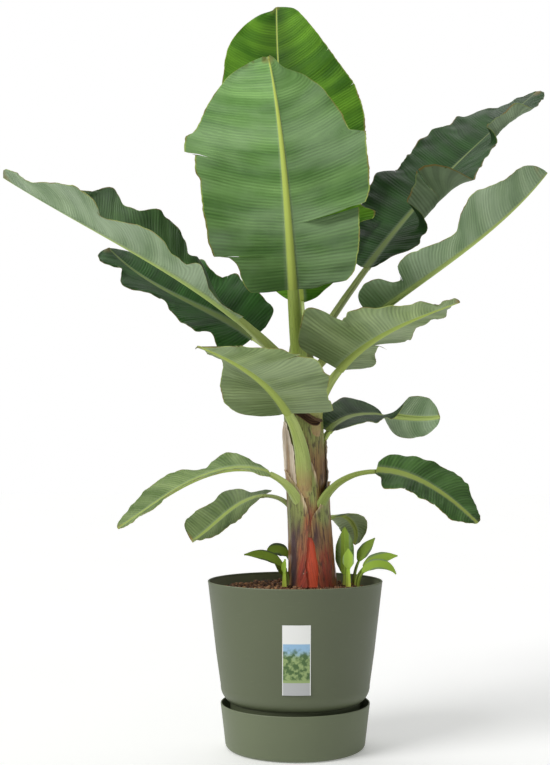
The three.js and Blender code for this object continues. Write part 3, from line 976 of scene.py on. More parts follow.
@dataclass
class Leaf:
    """One leaf: its stalk and its blade, grown on the stem or from the soil."""

    name: str
    growth: Growth
    finish: BladeFinish
    stalk_finish: StalkFinish
    tone: float = 1.0
    # Painted light and shade along the blade: multipliers of its colour at the base, the middle and
    # the tip.
    painted_light_along: Triple = (1.0, 1.0, 1.0)
    # Painted light and shade on each half, right then left: multipliers of its colour.
    painted_half_light: Pair = (1.0, 1.0)
    right_strips: tuple[Strip, ...] = (Strip(0.0),)
    left_strips: tuple[Strip, ...] = (Strip(0.0),)
    right_outline: Outline | None = None
    left_outline: Outline | None = None
    rolls: tuple[Roll, ...] = ()
    twist: Twist | None = None
    ruffle: float = 1.6
    flutter: float = 0.12
    rows: int = 140
    columns: int = 16
    sweep: float = 0.11
    clasp: float = 0.0
    clasp_width: float = 1.4
    seed: int = 1

    def spine(self, stem: Stem) -> Array:
        """The midrib's points from the base to the tip."""
        g = self.growth
        if g.foot:
            start = np.array([g.foot[0], g.foot[1], stem.soil_crown + 1])
        else:
            turn = math.radians(g.heading[0])
            out = np.array([math.cos(turn), math.sin(turn), 0.0])
            start = stem.axis(g.height) + out * g.offset
        along, _, _ = self.directions((np.arange(SPINE_STEPS) + 0.5) / SPINE_STEPS)
        steps = np.cumsum(along * g.length / SPINE_STEPS, axis=0)
        return np.vstack([start, start + steps])

    def directions(self, s: Array) -> tuple[Array, Array, Array]:
        """The directions along the leaf, to its right and up from its face, at s along it."""
        g = self.growth
        heading, pitch, sway = (np.radians(through(v, s)) for v in (g.heading, g.pitch, g.sway))
        out = stacked(np.cos(heading), np.sin(heading), 0.0)
        level = stacked(np.sin(heading), -np.cos(heading), 0.0)
        cos_pitch, sin_pitch = np.cos(pitch)[..., None], np.sin(pitch)[..., None]
        cos_sway, sin_sway = np.cos(sway)[..., None], np.sin(sway)[..., None]
        rise = np.array([0.0, 0.0, 1.0])
        rising = out * cos_pitch + rise * sin_pitch
        along = rising * cos_sway + level * sin_sway
        right = level * cos_sway - rising * sin_sway
        up = -out * sin_pitch + rise * cos_pitch
        return along, right, up

    @staticmethod
    def spine_at(spine: Array, s: Array) -> Array:
        """The midrib's points at s along the leaf."""
        stops = np.linspace(0, 1, len(spine))
        s = np.clip(s, 0, 1)
        return stacked(*(np.interp(s, stops, spine[:, k]) for k in range(3)))

    def half_width(self, half: Half, t: Array) -> Array:
        """The width of one half at t along the blade."""
        g = self.growth
        outline = self.right_outline if half == Half.RIGHT else self.left_outline
        if outline:
            return np.maximum(blend(g.stalk_width[1] / 2, 1.5, t), g.half_width * outline.width(t))
        place = 2 * np.clip(t, 0, 1) ** g.widest - 1
        power = np.where(place < 0, g.bluntness[0], g.bluntness[1])
        body = np.maximum(0, 1 - np.abs(place) ** power)
        return np.maximum(blend(g.stalk_width[1] / 2, 1.5, t), g.half_width * np.sqrt(body))

    def lamina(self) -> Array:
        """The columns' shares of the width beyond the midrib, closer near the margin."""
        return np.linspace(0, 1, self.columns + 1)[1:] ** 0.9

    def rib_half(self, t: Array) -> Array:
        """Half the midrib's width at t along the blade."""
        return blend(self.growth.stalk_width[1] / 2, 1.4, t) * 0.98

    # ---- stalk

    def stalk(self, stem: Stem, material: Material) -> Piece:
        """Builds the stalk: round below and channelled above, wider where it leaves the stem."""
        g = self.growth
        spine = self.spine(stem)
        small = g.foot is not None
        rows = 14 if small else 44
        low_rows = 16 if self.clasp else 0
        down = np.concatenate([np.linspace(1, 0, low_rows + 1)[:-1], np.zeros(rows)])
        share = np.concatenate([np.zeros(low_rows), np.linspace(0, 1, rows)])
        s = share * g.stalk / g.length
        _, right, up = self.directions(s)
        half = blend(*g.stalk_width, share) / 2
        half = half * blend(1.0, self.clasp_width, ease(down))
        length = share * g.stalk - self.clasp * down
        depth = blend(*g.stalk_depth, share) * SOLE
        groove = half * blend(0.42, 0.25, share)
        below = np.linspace(0, math.pi, 9 if small else 17)
        above = np.array([-0.86, -0.6, -0.3, 0.0, 0.3, 0.6, 0.86])
        x = np.concatenate([np.cos(below), above])
        low = np.concatenate([-np.sin(below), np.zeros(len(above))])
        channel = np.concatenate([np.zeros(len(below)), -(1 - above**2)])
        lip = np.concatenate([np.zeros(len(below)), 0.25 * np.abs(above) ** 3])
        ridges = ripples(stacked(length[:, None] / WAVE, np.arange(len(x)) / 5.0), self.seed + 90)
        rise = 4.0 * ease(1 - length / 45) if self.clasp else 0 * length
        middle = self.spine_at(spine, s) + up * (8.5 * ease(down) - rise)[:, None]
        middle[:, 2] -= self.clasp * down
        points = (
            middle[:, None]
            + right[:, None] * (x * half[:, None])[..., None]
            + up[:, None]
            * (
                low * depth[:, None]
                + channel * groove[:, None]
                + lip * half[:, None] * 0.3
                + 0.25 * ridges
                + depth[:, None] * 0.25
            )[..., None]
        )
        girth = np.arange(len(x)) / len(x) * 60
        place = stacked(length[:, None], girth[None], np.abs(x)[None])
        skin = Skinner()
        tone = np.full(points.shape, self.tone)
        grid = skin.add_points(points, place, tone)
        skin.add_sheet(grid, 0, False, round_it=True)
        skin.add_fan(grid[0], 0, False)
        skin.add_fan(grid[-1], 0, True)
        piece = skin.build(f"{self.name}_petiole", [material], 60)
        settle(piece, "sucker_shoot" if small else "leaf_stalk", f"{self.name}_stalk")
        return piece

    # ---- blade

    def rising(self, v: Array) -> Array:
        """How far the margin's end of each row lies toward the tip from the row's start."""
        return self.sweep * 4 * v * (1 - v) * (0.35 + 0.95 * v)

    def strips(self, half: Half) -> tuple[Strip, ...]:
        """The strips of one half, from the rows whose margins lie at their starts."""
        given = self.right_strips if half == Half.RIGHT else self.left_strips
        v = np.linspace(0, 1, 401)
        rows = np.interp([strip.start for strip in given], v + self.rising(v), v)
        return tuple(replace(strip, start=float(row)) for strip, row in zip(given, rows))

    def strip_fields(self, half: Half, v: Array, share: Array, late: bool) -> tuple[Array, Array]:
        """How the strips turn and rise at each row and column.

        Args:
            half: which half of the blade.
            v: the rows' places along the blade.
            share: the columns' shares of the width.
            late: whether a row on a split belongs to the strip after it.

        Returns:
            The extra bend in radians and the lift in millimetres.
        """
        bend = np.zeros((len(v), len(share)))
        lift = np.zeros_like(bend)
        strips = self.strips(half)
        for k, strip in enumerate(strips):
            end = strips[k + 1].start if k + 1 < len(strips) else 1.0 + 1e-9
            cut_end = strips[k + 1].cut if k + 1 < len(strips) else 1.0
            inside = (v >= strip.start) & (v < end) if late else (v > strip.start) & (v <= end)
            if strip.start == 0.0:
                inside |= v <= 0.0
            place = np.clip((v - strip.start) / max(end - strip.start, 1e-6), 0, 1)
            inner = np.minimum(blend(strip.cut, cut_end, place), 0.92)
            grow = ease((share[None] - inner[:, None]) / (1 - inner[:, None]))
            here = inside[:, None] * grow
            bend += here * np.radians(blend(strip.bend, strip.bend_to, place))[:, None]
            raised = ease((share[None] - inner[:, None]) * 2.5) * inside[:, None]
            lift += raised * blend(strip.lift, strip.lift_to, place)[:, None]
        return bend, lift

    def surface(
        self, spine: Array, half: Half, v: Array, late: bool
    ) -> tuple[Array, Array, Array, Array]:
        """The middle surface of one half.

        Args:
            spine: the midrib's points.
            half: which half of the blade.
            v: the rows' places along the blade.
            late: whether a row on a split belongs to the strip after it.

        Returns:
            Points, face normals, distances from the midrib, and shares of the width.
        """
        g = self.growth
        side = int(half)
        shares = self.lamina()
        on_rib = np.concatenate([RIB_COLUMNS, np.ones(len(shares))])
        out = np.concatenate([np.zeros(len(RIB_COLUMNS)), shares])
        t = np.clip(v[:, None] + (out**1.3)[None] * self.rising(v)[:, None], 0, 1)
        ragged = ripples(stacked(t * g.length / NICK, 0.0), 71 * self.seed + side, 5)
        width = self.half_width(half, t) * (1 + 0.005 * ragged)
        rib = np.minimum(self.rib_half(v)[:, None], width)
        bend, raised = self.strip_fields(half, v, out, late)
        x = rib * on_rib + (width - rib) * out
        u = x / width
        right_fold = np.radians(through(g.right_fold, t))
        left_fold = np.radians(through(g.left_fold, t))
        if self.twist:
            span = self.twist.end - self.twist.start
            turned = math.radians(self.twist.angle) * ease((t - self.twist.start) / span)
            right_fold, left_fold = right_fold + turned, left_fold - turned
        fold = right_fold if half == Half.RIGHT else left_fold
        middle = side * (right_fold - left_fold) / 2
        angle = blend(middle, fold, on_rib) + CURL * u + bend
        for roll in self.rolls:
            if roll.half == half:
                turn = math.radians(roll.angle) * ease((u - roll.inner) / roll.soft)
                angle += turn * window(t, roll.start, roll.end, roll.fade)
        waves = stacked(t * g.length / WAVE, u * 0.9)
        broad = g.half_width / 110
        angle += self.flutter * u * ripples(waves, 31 * self.seed + side, 5) * broad
        step = np.diff(x, axis=1)
        mean = (angle[:, 1:] + angle[:, :-1]) / 2
        zero = np.zeros((len(v), 1))
        across = np.concatenate([zero, np.cumsum(step * np.cos(mean), axis=1)], axis=1)
        lift = np.concatenate([zero, np.cumsum(step * np.sin(mean), axis=1)], axis=1)
        s = (g.stalk + (g.length - g.stalk) * t) / g.length
        _, right, up = self.directions(s)
        normal = up * np.cos(angle)[..., None] - right * (side * np.sin(angle))[..., None]
        wave = g.wave[0] * np.sin(2 * np.pi * (g.wave[1] * t + g.wave[2])) * u**2
        fine = stacked(v[:, None] * g.length / 26, u * 0.7)
        wave = wave + 0.5 * ripples(fine, 17 * self.seed + side, 4) * ease(u * 4)
        wave += self.ruffle * ripples(waves * 1.6, 53 * self.seed + side, 4) * u**3 + raised
        points = (
            self.spine_at(spine, s)
            + right * (side * across)[..., None]
            + up * lift[..., None]
            + normal * (wave * (0.0 if g.foot else 1.0))[..., None]
        )
        return points, normal, x, u

    def rows_for(self) -> tuple[Array, dict[Half, dict[int, float]]]:
        """The rows' places along the blade, and each half's splits by row."""
        even = np.linspace(0, 1, self.rows + 1)
        v = 0.45 * even + 0.55 * (1 - np.cos(np.pi * even)) / 2
        splits: dict[Half, dict[int, float]] = {}
        for half in Half:
            splits[half] = {}
            for strip in self.strips(half):
                if 0 < strip.start < 1 and strip.cut < 1:
                    row = int(np.argmin(np.abs(v - strip.start)))
                    v[row] = strip.start
                    splits[half][row] = strip.cut
        return v, splits

    def blade(self, stem: Stem, materials: list[Material]) -> Piece:
        """Builds the blade: two thin split halves on a midrib that stands out below."""
        g = self.growth
        spine = self.spine(stem)
        v, splits = self.rows_for()
        skin = Skinner()
        length = g.length - g.stalk
        rib_depth = blend(g.stalk_depth[1] * SOLE, 0.7, v)[:, None]
        middle: tuple[Array, Array] | None = None
        for half in Half:
            side = int(half)
            flip = half == Half.LEFT
            grids = []
            for late in (True, False):
                points, normal, x, u = self.surface(spine, half, v, late)
                rib = self.rib_half(v)[:, None]
                round_rib = np.clip(1 - (x / rib) ** 2, 0, 1)
                body = rib_depth * np.sqrt(round_rib)
                lift = rib_depth * 0.25 * np.sqrt(round_rib)
                thick = blend(*LAMINA, np.clip(u, 0, 1))
                upper = points + normal * (thick - 0.25 * rib * round_rib + lift)[..., None]
                lower = points - normal * (thick + body - lift)[..., None]
                place = stacked(v[:, None] * length, side * x, np.clip(u, 0, 1))
                grids.append((upper, lower, place))
            (upper, lower, place), (upper_early, lower_early, place_early) = grids
            # The colour's multiplier: the leaf's tone times painted light and shade, for each half
            # and along the blade.
            tone = np.full(upper.shape, self.tone)
            tone *= self.painted_half_light[0 if half == Half.RIGHT else 1]
            tone *= through(self.painted_light_along, v)[:, None, None]
            tone[..., 1] = (ease((v - 0.95) / 0.05) * 0.9)[:, None]
            top = skin.add_points(upper, place, tone)
            base = skin.add_points(lower, place, tone)
            if middle is None:
                middle = (top[:, 0].copy(), base[:, 0].copy())
            else:
                top[:, 0], base[:, 0] = middle
            top_early, base_early = top.copy(), base.copy()
            shares = self.lamina()
            for row, cut in splits[half].items():
                first = int(np.searchsorted(shares, cut))
                start = len(RIB_COLUMNS) + first
                gap = ease((shares[first:] - cut) / (1 - cut)) * SPLIT_GAP
                s = np.full(len(gap), (g.stalk + length * v[row]) / g.length)
                spread = self.directions(s)[0] * gap[:, None]
                torn = np.s_[row, start:]
                for grid, early in ((top_early, upper_early), (base_early, lower_early)):
                    grid[torn] = skin.add_points(
                        early[torn] - spread, place_early[torn], tone[torn]
                    )
                for over, under, turned in (
                    (top[row], base[row], flip), (top_early[row], base_early[row], not flip)
                ):
                    skin.add_quads(
                        over[start - 1 : -1], under[start - 1 : -1], under[start:], over[start:],
                        Skin.MARGIN, turned,
                    )
            self.skin_half(skin, (top, base), (top_early, base_early), flip)
        piece = skin.build(f"{self.name}_blade", materials, 50)
        settle(piece, "sucker_shoot" if g.foot else "leaf_blade", f"{self.name}_leaf")
        return piece

    @staticmethod
    def skin_half(
        skin: Skinner,
        late: tuple[Array, Array],
        early: tuple[Array, Array],
        flip: bool,
    ) -> None:
        """Adds one half's faces between its rows, its margin and its ends.

        Args:
            skin: gathers the faces.
            late: upper and lower point numbers of each row as the start of a strip.
            early: the same numbers for each row as the end of a strip.
            flip: whether the faces are turned over, as on the left half.
        """
        top, base = late
        top_early, base_early = early
        for now, then, material, turned in (
            (top[:-1], top_early[1:], Skin.UPPER, flip),
            (base[:-1], base_early[1:], Skin.UNDER, not flip),
        ):
            skin.add_quads(now[:, :-1], now[:, 1:], then[:, 1:], then[:, :-1], material, turned)
        skin.add_quads(
            top[:-1, -1], base[:-1, -1], base_early[1:, -1], top_early[1:, -1], Skin.MARGIN, flip
        )
        for row, turned in ((0, flip), (-1, not flip)):
            over, under = top[row], base[row]
            skin.add_quads(over[:-1], under[:-1], under[1:], over[1:], Skin.MARGIN, turned)


GREEN_STALK = StalkFinish(
    "green_stalk", colour(180, 200, 96), colour(146, 170, 72), colour(160, 138, 84)
)
PALE_STALK = StalkFinish(
    "pale_stalk", colour(184, 200, 112), colour(140, 160, 78), colour(170, 140, 90)
)
SHOOT_STALK = StalkFinish(
    "shoot_stalk", colour(150, 184, 52), colour(112, 150, 36), colour(150, 150, 70)
)


CROWN_FRONT = Leaf(
    "crown_front",
    Growth(
        height=618, offset=10, length=554, stalk=163, heading=(-92, -92, -92), pitch=(53, 82, 100),
        sway=(6, 4, 11), half_width=142, stalk_width=(30, 19), stalk_depth=(18, 13),
        right_fold=(-20, -6, 18), left_fold=(-20, 0, 20), wave=(6, 2.6, 0.2),
    ),
    YOUNG, GREEN_STALK,
    painted_light_along=(0.66, 0.98, 1.22), painted_half_light=(1.1, 0.82),
    right_outline=Outline((
        (0, 300), (12, 520), (55, 600), (117, 640), (163, 760), (168, 960), (233, 1000), (354, 990),
        (462, 980), (517, 1030), (588, 1010), (594, 1130), (685, 1080), (692, 1010), (825, 810),
        (917, 610), (963, 450), (985, 300), (1000, 60),
    )),
    left_outline=Outline((
        (0, 200), (20, 400), (37, 660), (104, 790), (217, 830), (321, 820), (329, 950), (446, 980),
        (546, 970), (621, 980), (637, 800), (725, 720), (821, 600), (892, 420), (946, 140),
        (1000, 10),
    )),
    right_strips=(
        Strip(0.0, bend=14, bend_to=10), Strip(0.165, 0.3, bend=-10, lift=-5, lift_to=0),
        Strip(0.59, 0.78, bend=-8, bend_to=-14), Strip(0.688, 0.86, bend=2),
    ),
    left_strips=(
        Strip(0.0, bend=0, bend_to=8, lift_to=6), Strip(0.325, 0.1, bend=-6, lift=-9),
        Strip(0.63, 0.78, bend=-2),
    ),
    rows=190, columns=24, seed=2,
)
CROWN_BACK = Leaf(
    "crown_back",
    Growth(
        height=650, offset=4, length=688, stalk=113, heading=(92, 92, 92), pitch=(69, 77, 90),
        sway=(2, -5, 0), half_width=150, stalk_width=(22, 16), stalk_depth=(14, 12),
        right_fold=(-5, 8, 30), left_fold=(9, -12, -5), wave=(5, 3, 0.6),
    ),
    YOUNG, GREEN_STALK,
    right_outline=Outline((
        (0, 50), (50, 340), (100, 540), (170, 660), (240, 760), (262, 800), (272, 970), (300, 1020),
        (316, 860), (338, 840), (400, 910), (500, 960), (596, 1000), (704, 930), (812, 700),
        (883, 550), (921, 450), (960, 340), (987, 240), (1000, 60),
    )),
    left_outline=Outline((
        (0, 50), (60, 340), (150, 640), (250, 820), (400, 920), (600, 900), (762, 750), (883, 610),
        (942, 430), (979, 200), (990, 60), (1000, 20),
    )),
    right_strips=(
        Strip(0.0), Strip(0.34, 0.8, bend=8, bend_to=0), Strip(0.72, 0.9, bend=-8),
        Strip(0.84, 0.9, bend=6),
    ),
    left_strips=(Strip(0.0), Strip(0.3, 0.8, bend=-8, bend_to=0), Strip(0.62, 0.9, bend=6)),
    rows=180, columns=22, seed=3,
)
RIGHT_HIGH = Leaf(
    "right_high",
    Growth(
        height=650, offset=8, length=704, stalk=208, heading=(27, 23, 11), pitch=(57, 47, 40),
        half_width=124, stalk_width=(24, 16), right_fold=(-17, 5, -15),
        left_fold=(20, 32, 14), wave=(3, 3, 0.1),
    ),
    DUSKY, PALE_STALK,
    tone=0.7,
    right_outline=Outline((
        (0, 80), (30, 220), (75, 470), (113, 770), (160, 720), (220, 850), (300, 1100), (350, 1330),
        (421, 1220), (500, 1120), (600, 1050), (700, 1000), (817, 870), (900, 580), (970, 340),
        (1000, 80),
    )),
    left_outline=Outline((
        (0, 100), (50, 450), (150, 800), (300, 1070), (420, 1170), (462, 960), (525, 1000),
        (590, 1120), (688, 1120), (725, 940), (821, 1080), (871, 900), (917, 580), (942, 460),
        (985, 250), (1000, 50),
    )),
    rolls=(
        Roll(Half.RIGHT, 0.2, 0.33, 0.56, 122, 0.2, 0.05),
        Roll(Half.RIGHT, 0.6, 0.78, 0.72, 125, 0.16, 0.05),
    ),
    right_strips=(
        Strip(0.0), Strip(0.2, 0.5), Strip(0.325, 0.5, bend=-8, bend_to=2),
        Strip(0.575, 0.7, bend=4),
    ),
    left_strips=(
        Strip(0.0), Strip(0.458, 0.85, bend=5, bend_to=-2),
        Strip(0.72, 0.85, bend=6, bend_to=-2),
    ),
    rows=200, columns=26, seed=4,
)
RIGHT_MID = Leaf(
    "right_mid",
    Growth(
        height=625, offset=14, length=516, stalk=147, heading=(-20, -19, -14), pitch=(48, 33, 51),
        half_width=116, stalk_width=(26, 16), right_fold=(38, 34, 60),
        left_fold=(22, 26, 40), wave=(3.5, 4, 0.5),
    ),
    BROAD, PALE_STALK,
    painted_light_along=(1.5, 1.05, 0.9), flutter=0.08,
    right_outline=Outline((
        (0, 200), (10, 400), (40, 560), (96, 650), (140, 540), (180, 280), (205, 250), (245, 550),
        (280, 640), (308, 680), (362, 580), (446, 420), (521, 420), (604, 640), (692, 730),
        (770, 620), (842, 500), (946, 350), (985, 220), (1000, 60),
    )),
    left_outline=Outline((
        (0, 100), (50, 400), (200, 520), (400, 550), (600, 600), (800, 500), (950, 250), (1000, 50),
    )),
    right_strips=(
        Strip(0.0, bend=8), Strip(0.225, 0.6, bend=10, bend_to=-4), Strip(0.54, 0.8, bend=6),
    ),
    rows=170, columns=20, seed=5,
)
LEFT_HIGH = Leaf(
    "left_high",
    Growth(
        height=622, offset=14, length=590, stalk=148, heading=(222, 195, 185), pitch=(44, 29, 31),
        half_width=124, stalk_width=(34, 18), stalk_depth=(20, 14), right_fold=(21, 45, 6),
        left_fold=(-2, 14, 4), wave=(3.5, 4, 0.3),
    ),
    BROAD, PALE_STALK,
    painted_half_light=(1.25, 1.0), ruffle=0.9, flutter=0.06,
    right_outline=Outline((
        (0, 400), (50, 900), (121, 1250), (204, 1100), (263, 820), (300, 1140), (383, 1320),
        (462, 1220), (525, 950), (575, 970), (660, 1270), (700, 1160), (725, 840), (800, 750),
        (900, 500), (970, 300), (1000, 60),
    )),
    left_outline=Outline((
        (0, 150), (83, 180), (140, 300), (175, 420), (221, 740), (262, 970), (292, 580), (350, 750),
        (408, 960), (470, 860), (529, 770), (608, 630), (654, 970), (696, 1080), (758, 950),
        (833, 800), (900, 600), (958, 600), (985, 420), (1000, 80),
    )),
    right_strips=(Strip(0.0), Strip(0.275, 0.8, bend=6), Strip(0.71, 0.85, bend=5)),
    left_strips=(
        Strip(0.0, bend=-30, bend_to=-12), Strip(0.28, 0.6, bend=8, bend_to=-4),
        Strip(0.63, 0.7, bend=8, bend_to=-4), Strip(0.93, 0.8, bend=6),
    ),
    rows=190, columns=20, seed=6,
)
LEFT_MID = Leaf(
    "left_mid",
    Growth(
        height=628, offset=8, length=421, stalk=101, heading=(165, 162, 180), pitch=(49, 26, 48),
        half_width=112, stalk_width=(24, 16), right_fold=(50, 46, 25),
        left_fold=(-28, -4, -18), wave=(3.5, 3, 0.7),
    ),
    DUSKY, PALE_STALK,
    tone=1.15,
    right_outline=Outline((
        (0, 300), (60, 750), (150, 800), (250, 850), (362, 1080), (400, 820), (479, 850),
        (604, 1080), (700, 900), (850, 600), (950, 400), (1000, 100),
    )),
    left_outline=Outline((
        (0, 300), (70, 720), (150, 620), (204, 900), (358, 870), (487, 700), (583, 910),
        (679, 1180), (760, 850), (825, 570), (908, 820), (958, 650), (985, 400), (1000, 100),
    )),
    right_strips=(Strip(0.0), Strip(0.385, 0.78, bend=10), Strip(0.68, 0.8, bend=-8)),
    left_strips=(
        Strip(0.0), Strip(0.185, 0.8, bend=-6), Strip(0.5, 0.8, bend=-12, bend_to=4),
        Strip(0.84, 0.7, bend=-10, bend_to=-4),
    ),
    rows=160, columns=18, seed=7,
)
RIGHT_FRONT = Leaf(
    "right_front",
    Growth(
        height=542, length=346, stalk=109, heading=(-52, -35, -15), pitch=(70, 30, 18),
        half_width=112, stalk_width=(28, 16), right_fold=(36, 18, 5),
        left_fold=(9, 9, 10), wave=(3.5, 3, 0.4),
    ),
    SHADED, PALE_STALK,
    painted_light_along=(0.75, 1.0, 0.95), painted_half_light=(1.0, 0.8),
    clasp=50,
    right_outline=Outline((
        (0, 600), (30, 800), (120, 1000), (221, 1200), (280, 1280), (320, 1100), (335, 740),
        (380, 800), (433, 950), (512, 960), (575, 720), (692, 620), (808, 730), (845, 500),
        (870, 220), (930, 300), (979, 300), (1000, 50),
    )),
    left_outline=Outline((
        (0, 500), (20, 660), (87, 740), (204, 470), (270, 400), (300, 800), (330, 1120),
        (420, 1020), (546, 910), (680, 980), (787, 1000), (880, 600), (950, 300), (1000, 50),
    )),
    right_strips=(Strip(0.0), Strip(0.33, 0.6, bend=10, bend_to=0), Strip(0.86, 0.7, bend=-6)),
    left_strips=(Strip(0.0, bend=-16, bend_to=-26), Strip(0.285, 0.5, bend=2)),
    rows=160, columns=18, seed=8,
)
LEFT_FRONT = Leaf(
    "left_front",
    Growth(
        height=449, offset=26, length=376, stalk=130, heading=(-101, -127, -124),
        pitch=(75, 31, 11), half_width=118, stalk_width=(30, 17),
        right_fold=(-15, 24, 2), left_fold=(-1, 13, 0), wave=(4, 2.5, 0.1),
    ),
    SHADED, PALE_STALK,
    painted_light_along=(0.66, 0.84, 1.0), painted_half_light=(0.86, 1.0),
    clasp=60, clasp_width=1.5,
    right_outline=Outline((
        (0, 200), (29, 490), (87, 780), (167, 920), (250, 900), (329, 820), (500, 600), (700, 400),
        (850, 220), (1000, 40),
    )),
    left_outline=Outline((
        (0, 450), (37, 770), (96, 780), (192, 860), (342, 1050), (450, 1040), (512, 820),
        (600, 1000), (680, 880), (780, 640), (830, 420), (900, 440), (950, 520), (980, 400),
        (1000, 80),
    )),
    right_strips=(Strip(0.0), Strip(0.55, 0.8, bend=8), Strip(0.8, 0.8, bend=-4)),
    left_strips=(Strip(0.0), Strip(0.53, 0.7, bend=8), Strip(0.86, 0.7, bend=8)),
    rows=150, columns=18, seed=9,
)
RIGHT_SMALL = Leaf(
    "right_small",
    Growth(
        height=484, length=278, stalk=50, heading=(22, 27, 4), pitch=(89, 2, 11),
        half_width=68, stalk_width=(22, 13), stalk_depth=(14, 10), right_fold=(9, -13, -12),
        left_fold=(43, 25, 50), wave=(2, 2, 0.3),
    ),
    BROAD, GREEN_STALK,
    painted_light_along=(0.52, 0.68, 1.4),
    right_outline=Outline((
        (0, 500), (50, 900), (120, 1100), (250, 1000), (400, 700), (500, 500), (560, 400),
        (640, 500), (720, 580), (800, 600), (900, 550), (970, 350), (1000, 50),
    )),
    left_outline=Outline((
        (0, 300), (100, 600), (242, 920), (380, 1200), (480, 900), (550, 620), (600, 500),
        (680, 560), (800, 560), (900, 520), (970, 320), (1000, 50),
    )),
    twist=Twist(0.48, 0.66, 95),
    rows=130, columns=14, seed=10,
)
RIGHT_LOW = Leaf(
    "right_low",
    Growth(
        height=339, length=383, stalk=192, heading=(-54, -23, -22), pitch=(110, 1, -43),
        half_width=61, stalk_width=(30, 14), stalk_depth=(16, 10), right_fold=(-22, -13, -15),
        left_fold=(48, 34, 16), wave=(1.5, 3, 0.2),
    ),
    LOW, GREEN_STALK,
    tone=0.7, clasp=32,
    right_outline=Outline((
        (0, 150), (83, 420), (140, 850), (196, 980), (371, 870), (600, 890), (846, 790), (940, 450),
        (979, 220), (1000, 50),
    )),
    left_outline=Outline((
        (0, 300), (79, 660), (296, 870), (450, 1000), (617, 1140), (796, 870), (930, 500),
        (987, 270), (1000, 50),
    )),
    right_strips=(Strip(0.0), Strip(0.36, 0.85, bend=-6), Strip(0.66, 0.9, bend=-6)),
    rows=130, columns=16, seed=11,
)
LEFT_LOW = Leaf(
    "left_low",
    Growth(
        height=364, length=400, stalk=122, heading=(230, 191, 204),
        pitch=(101, -11, -30), half_width=52, stalk_width=(34, 15), stalk_depth=(18, 12),
        right_fold=(32, 27, 27), left_fold=(-11, 8, -5), wave=(1.5, 3, 0.5),
    ),
    PALE_LOW, PALE_STALK,
    painted_light_along=(1.4, 1.2, 1.1),
    right_outline=Outline((
        (0, 200), (50, 500), (113, 740), (183, 1080), (250, 1000), (317, 780), (385, 500),
        (450, 800), (558, 1150), (683, 1190), (800, 850), (879, 540), (960, 300), (1000, 50),
    )),
    left_outline=Outline((
        (0, 200), (87, 900), (242, 500), (350, 600), (458, 900), (596, 960), (800, 750), (930, 400),
        (1000, 50),
    )),
    right_strips=(Strip(0.0), Strip(0.385, 0.6, bend=10), Strip(0.76, 0.85, bend=-6)),
    rows=140, columns=14, seed=12,
)
LEFT_LOWEST = Leaf(
    "left_lowest",
    Growth(
        height=364, length=252, stalk=96, heading=(153, 160, 189), pitch=(99, -23, -32),
        half_width=66, stalk_width=(18, 10), stalk_depth=(12, 8), right_fold=(8, 39, 37),
        left_fold=(-21, -20, 13), wave=(1, 2, 0.2),
    ),
    PALE_LOW, PALE_STALK,
    tone=0.74,
    right_outline=Outline((
        (0, 250), (50, 800), (120, 650), (192, 600), (367, 1120), (496, 1180), (592, 950),
        (750, 1000), (900, 930), (963, 750), (1000, 150),
    )),
    left_outline=Outline((
        (0, 100), (100, 600), (250, 850), (404, 910), (650, 850), (871, 640), (960, 420),
        (1000, 100),
    )),
    rows=120, columns=14, seed=13,
)
RIGHT_LOWEST = Leaf(
    "right_lowest",
    Growth(
        height=344, length=162, stalk=60, heading=(59, 47, 1), pitch=(48, 0, -120),
        half_width=42, widest=1.0, bluntness=(2.6, 3), stalk_width=(14, 8), stalk_depth=(10, 7),
        right_fold=(7, 11, 2), left_fold=(-2, -10, -30), wave=(1, 2, 0.2),
    ),
    LOW, PALE_STALK,
    rows=80, columns=12, seed=14,
)

# The thirteen leaves of the stem.
MAIN_LEAVES = (
    CROWN_FRONT, CROWN_BACK, RIGHT_HIGH, RIGHT_MID, LEFT_HIGH, LEFT_MID, RIGHT_FRONT, LEFT_FRONT,
    RIGHT_SMALL, RIGHT_LOW, LEFT_LOW, LEFT_LOWEST, RIGHT_LOWEST,
)

SUCKER_OUTLINE = Outline(
    ((0, 200), (120, 620), (320, 1000), (550, 960), (750, 660), (900, 300), (1000, 20))
)


@dataclass(frozen=True)
class Shoot:
    """A sucker's leaf, whose halves both rise by `fold` and which leans to its right by `tilt`.

    `foot` is where it leaves the soil, and `sizes` are its length, its stalk and its half width.
    """

    name: str
    foot: Pair
    sizes: Triple
    heading: Triple
    pitch: Triple
    fold: Triple
    tilt: float
    tone: float

    def leaf(self, seed: int) -> Leaf:
        """The whole leaf, with its small waves chosen by seed."""
        length, stalk, half_width = self.sizes
        return Leaf(
            f"sucker_{self.name}",
            Growth(
                foot=self.foot, length=length, stalk=stalk, half_width=half_width,
                heading=self.heading, pitch=self.pitch, stalk_depth=(7.0, 5.0),
                right_fold=tuple(f - self.tilt for f in self.fold),
                left_fold=tuple(f + self.tilt for f in self.fold),
            ),
            SUCKER, SHOOT_STALK,
            right_outline=SUCKER_OUTLINE, left_outline=SUCKER_OUTLINE,
            tone=self.tone, ruffle=0.0, rows=44, columns=8, seed=seed,
        )


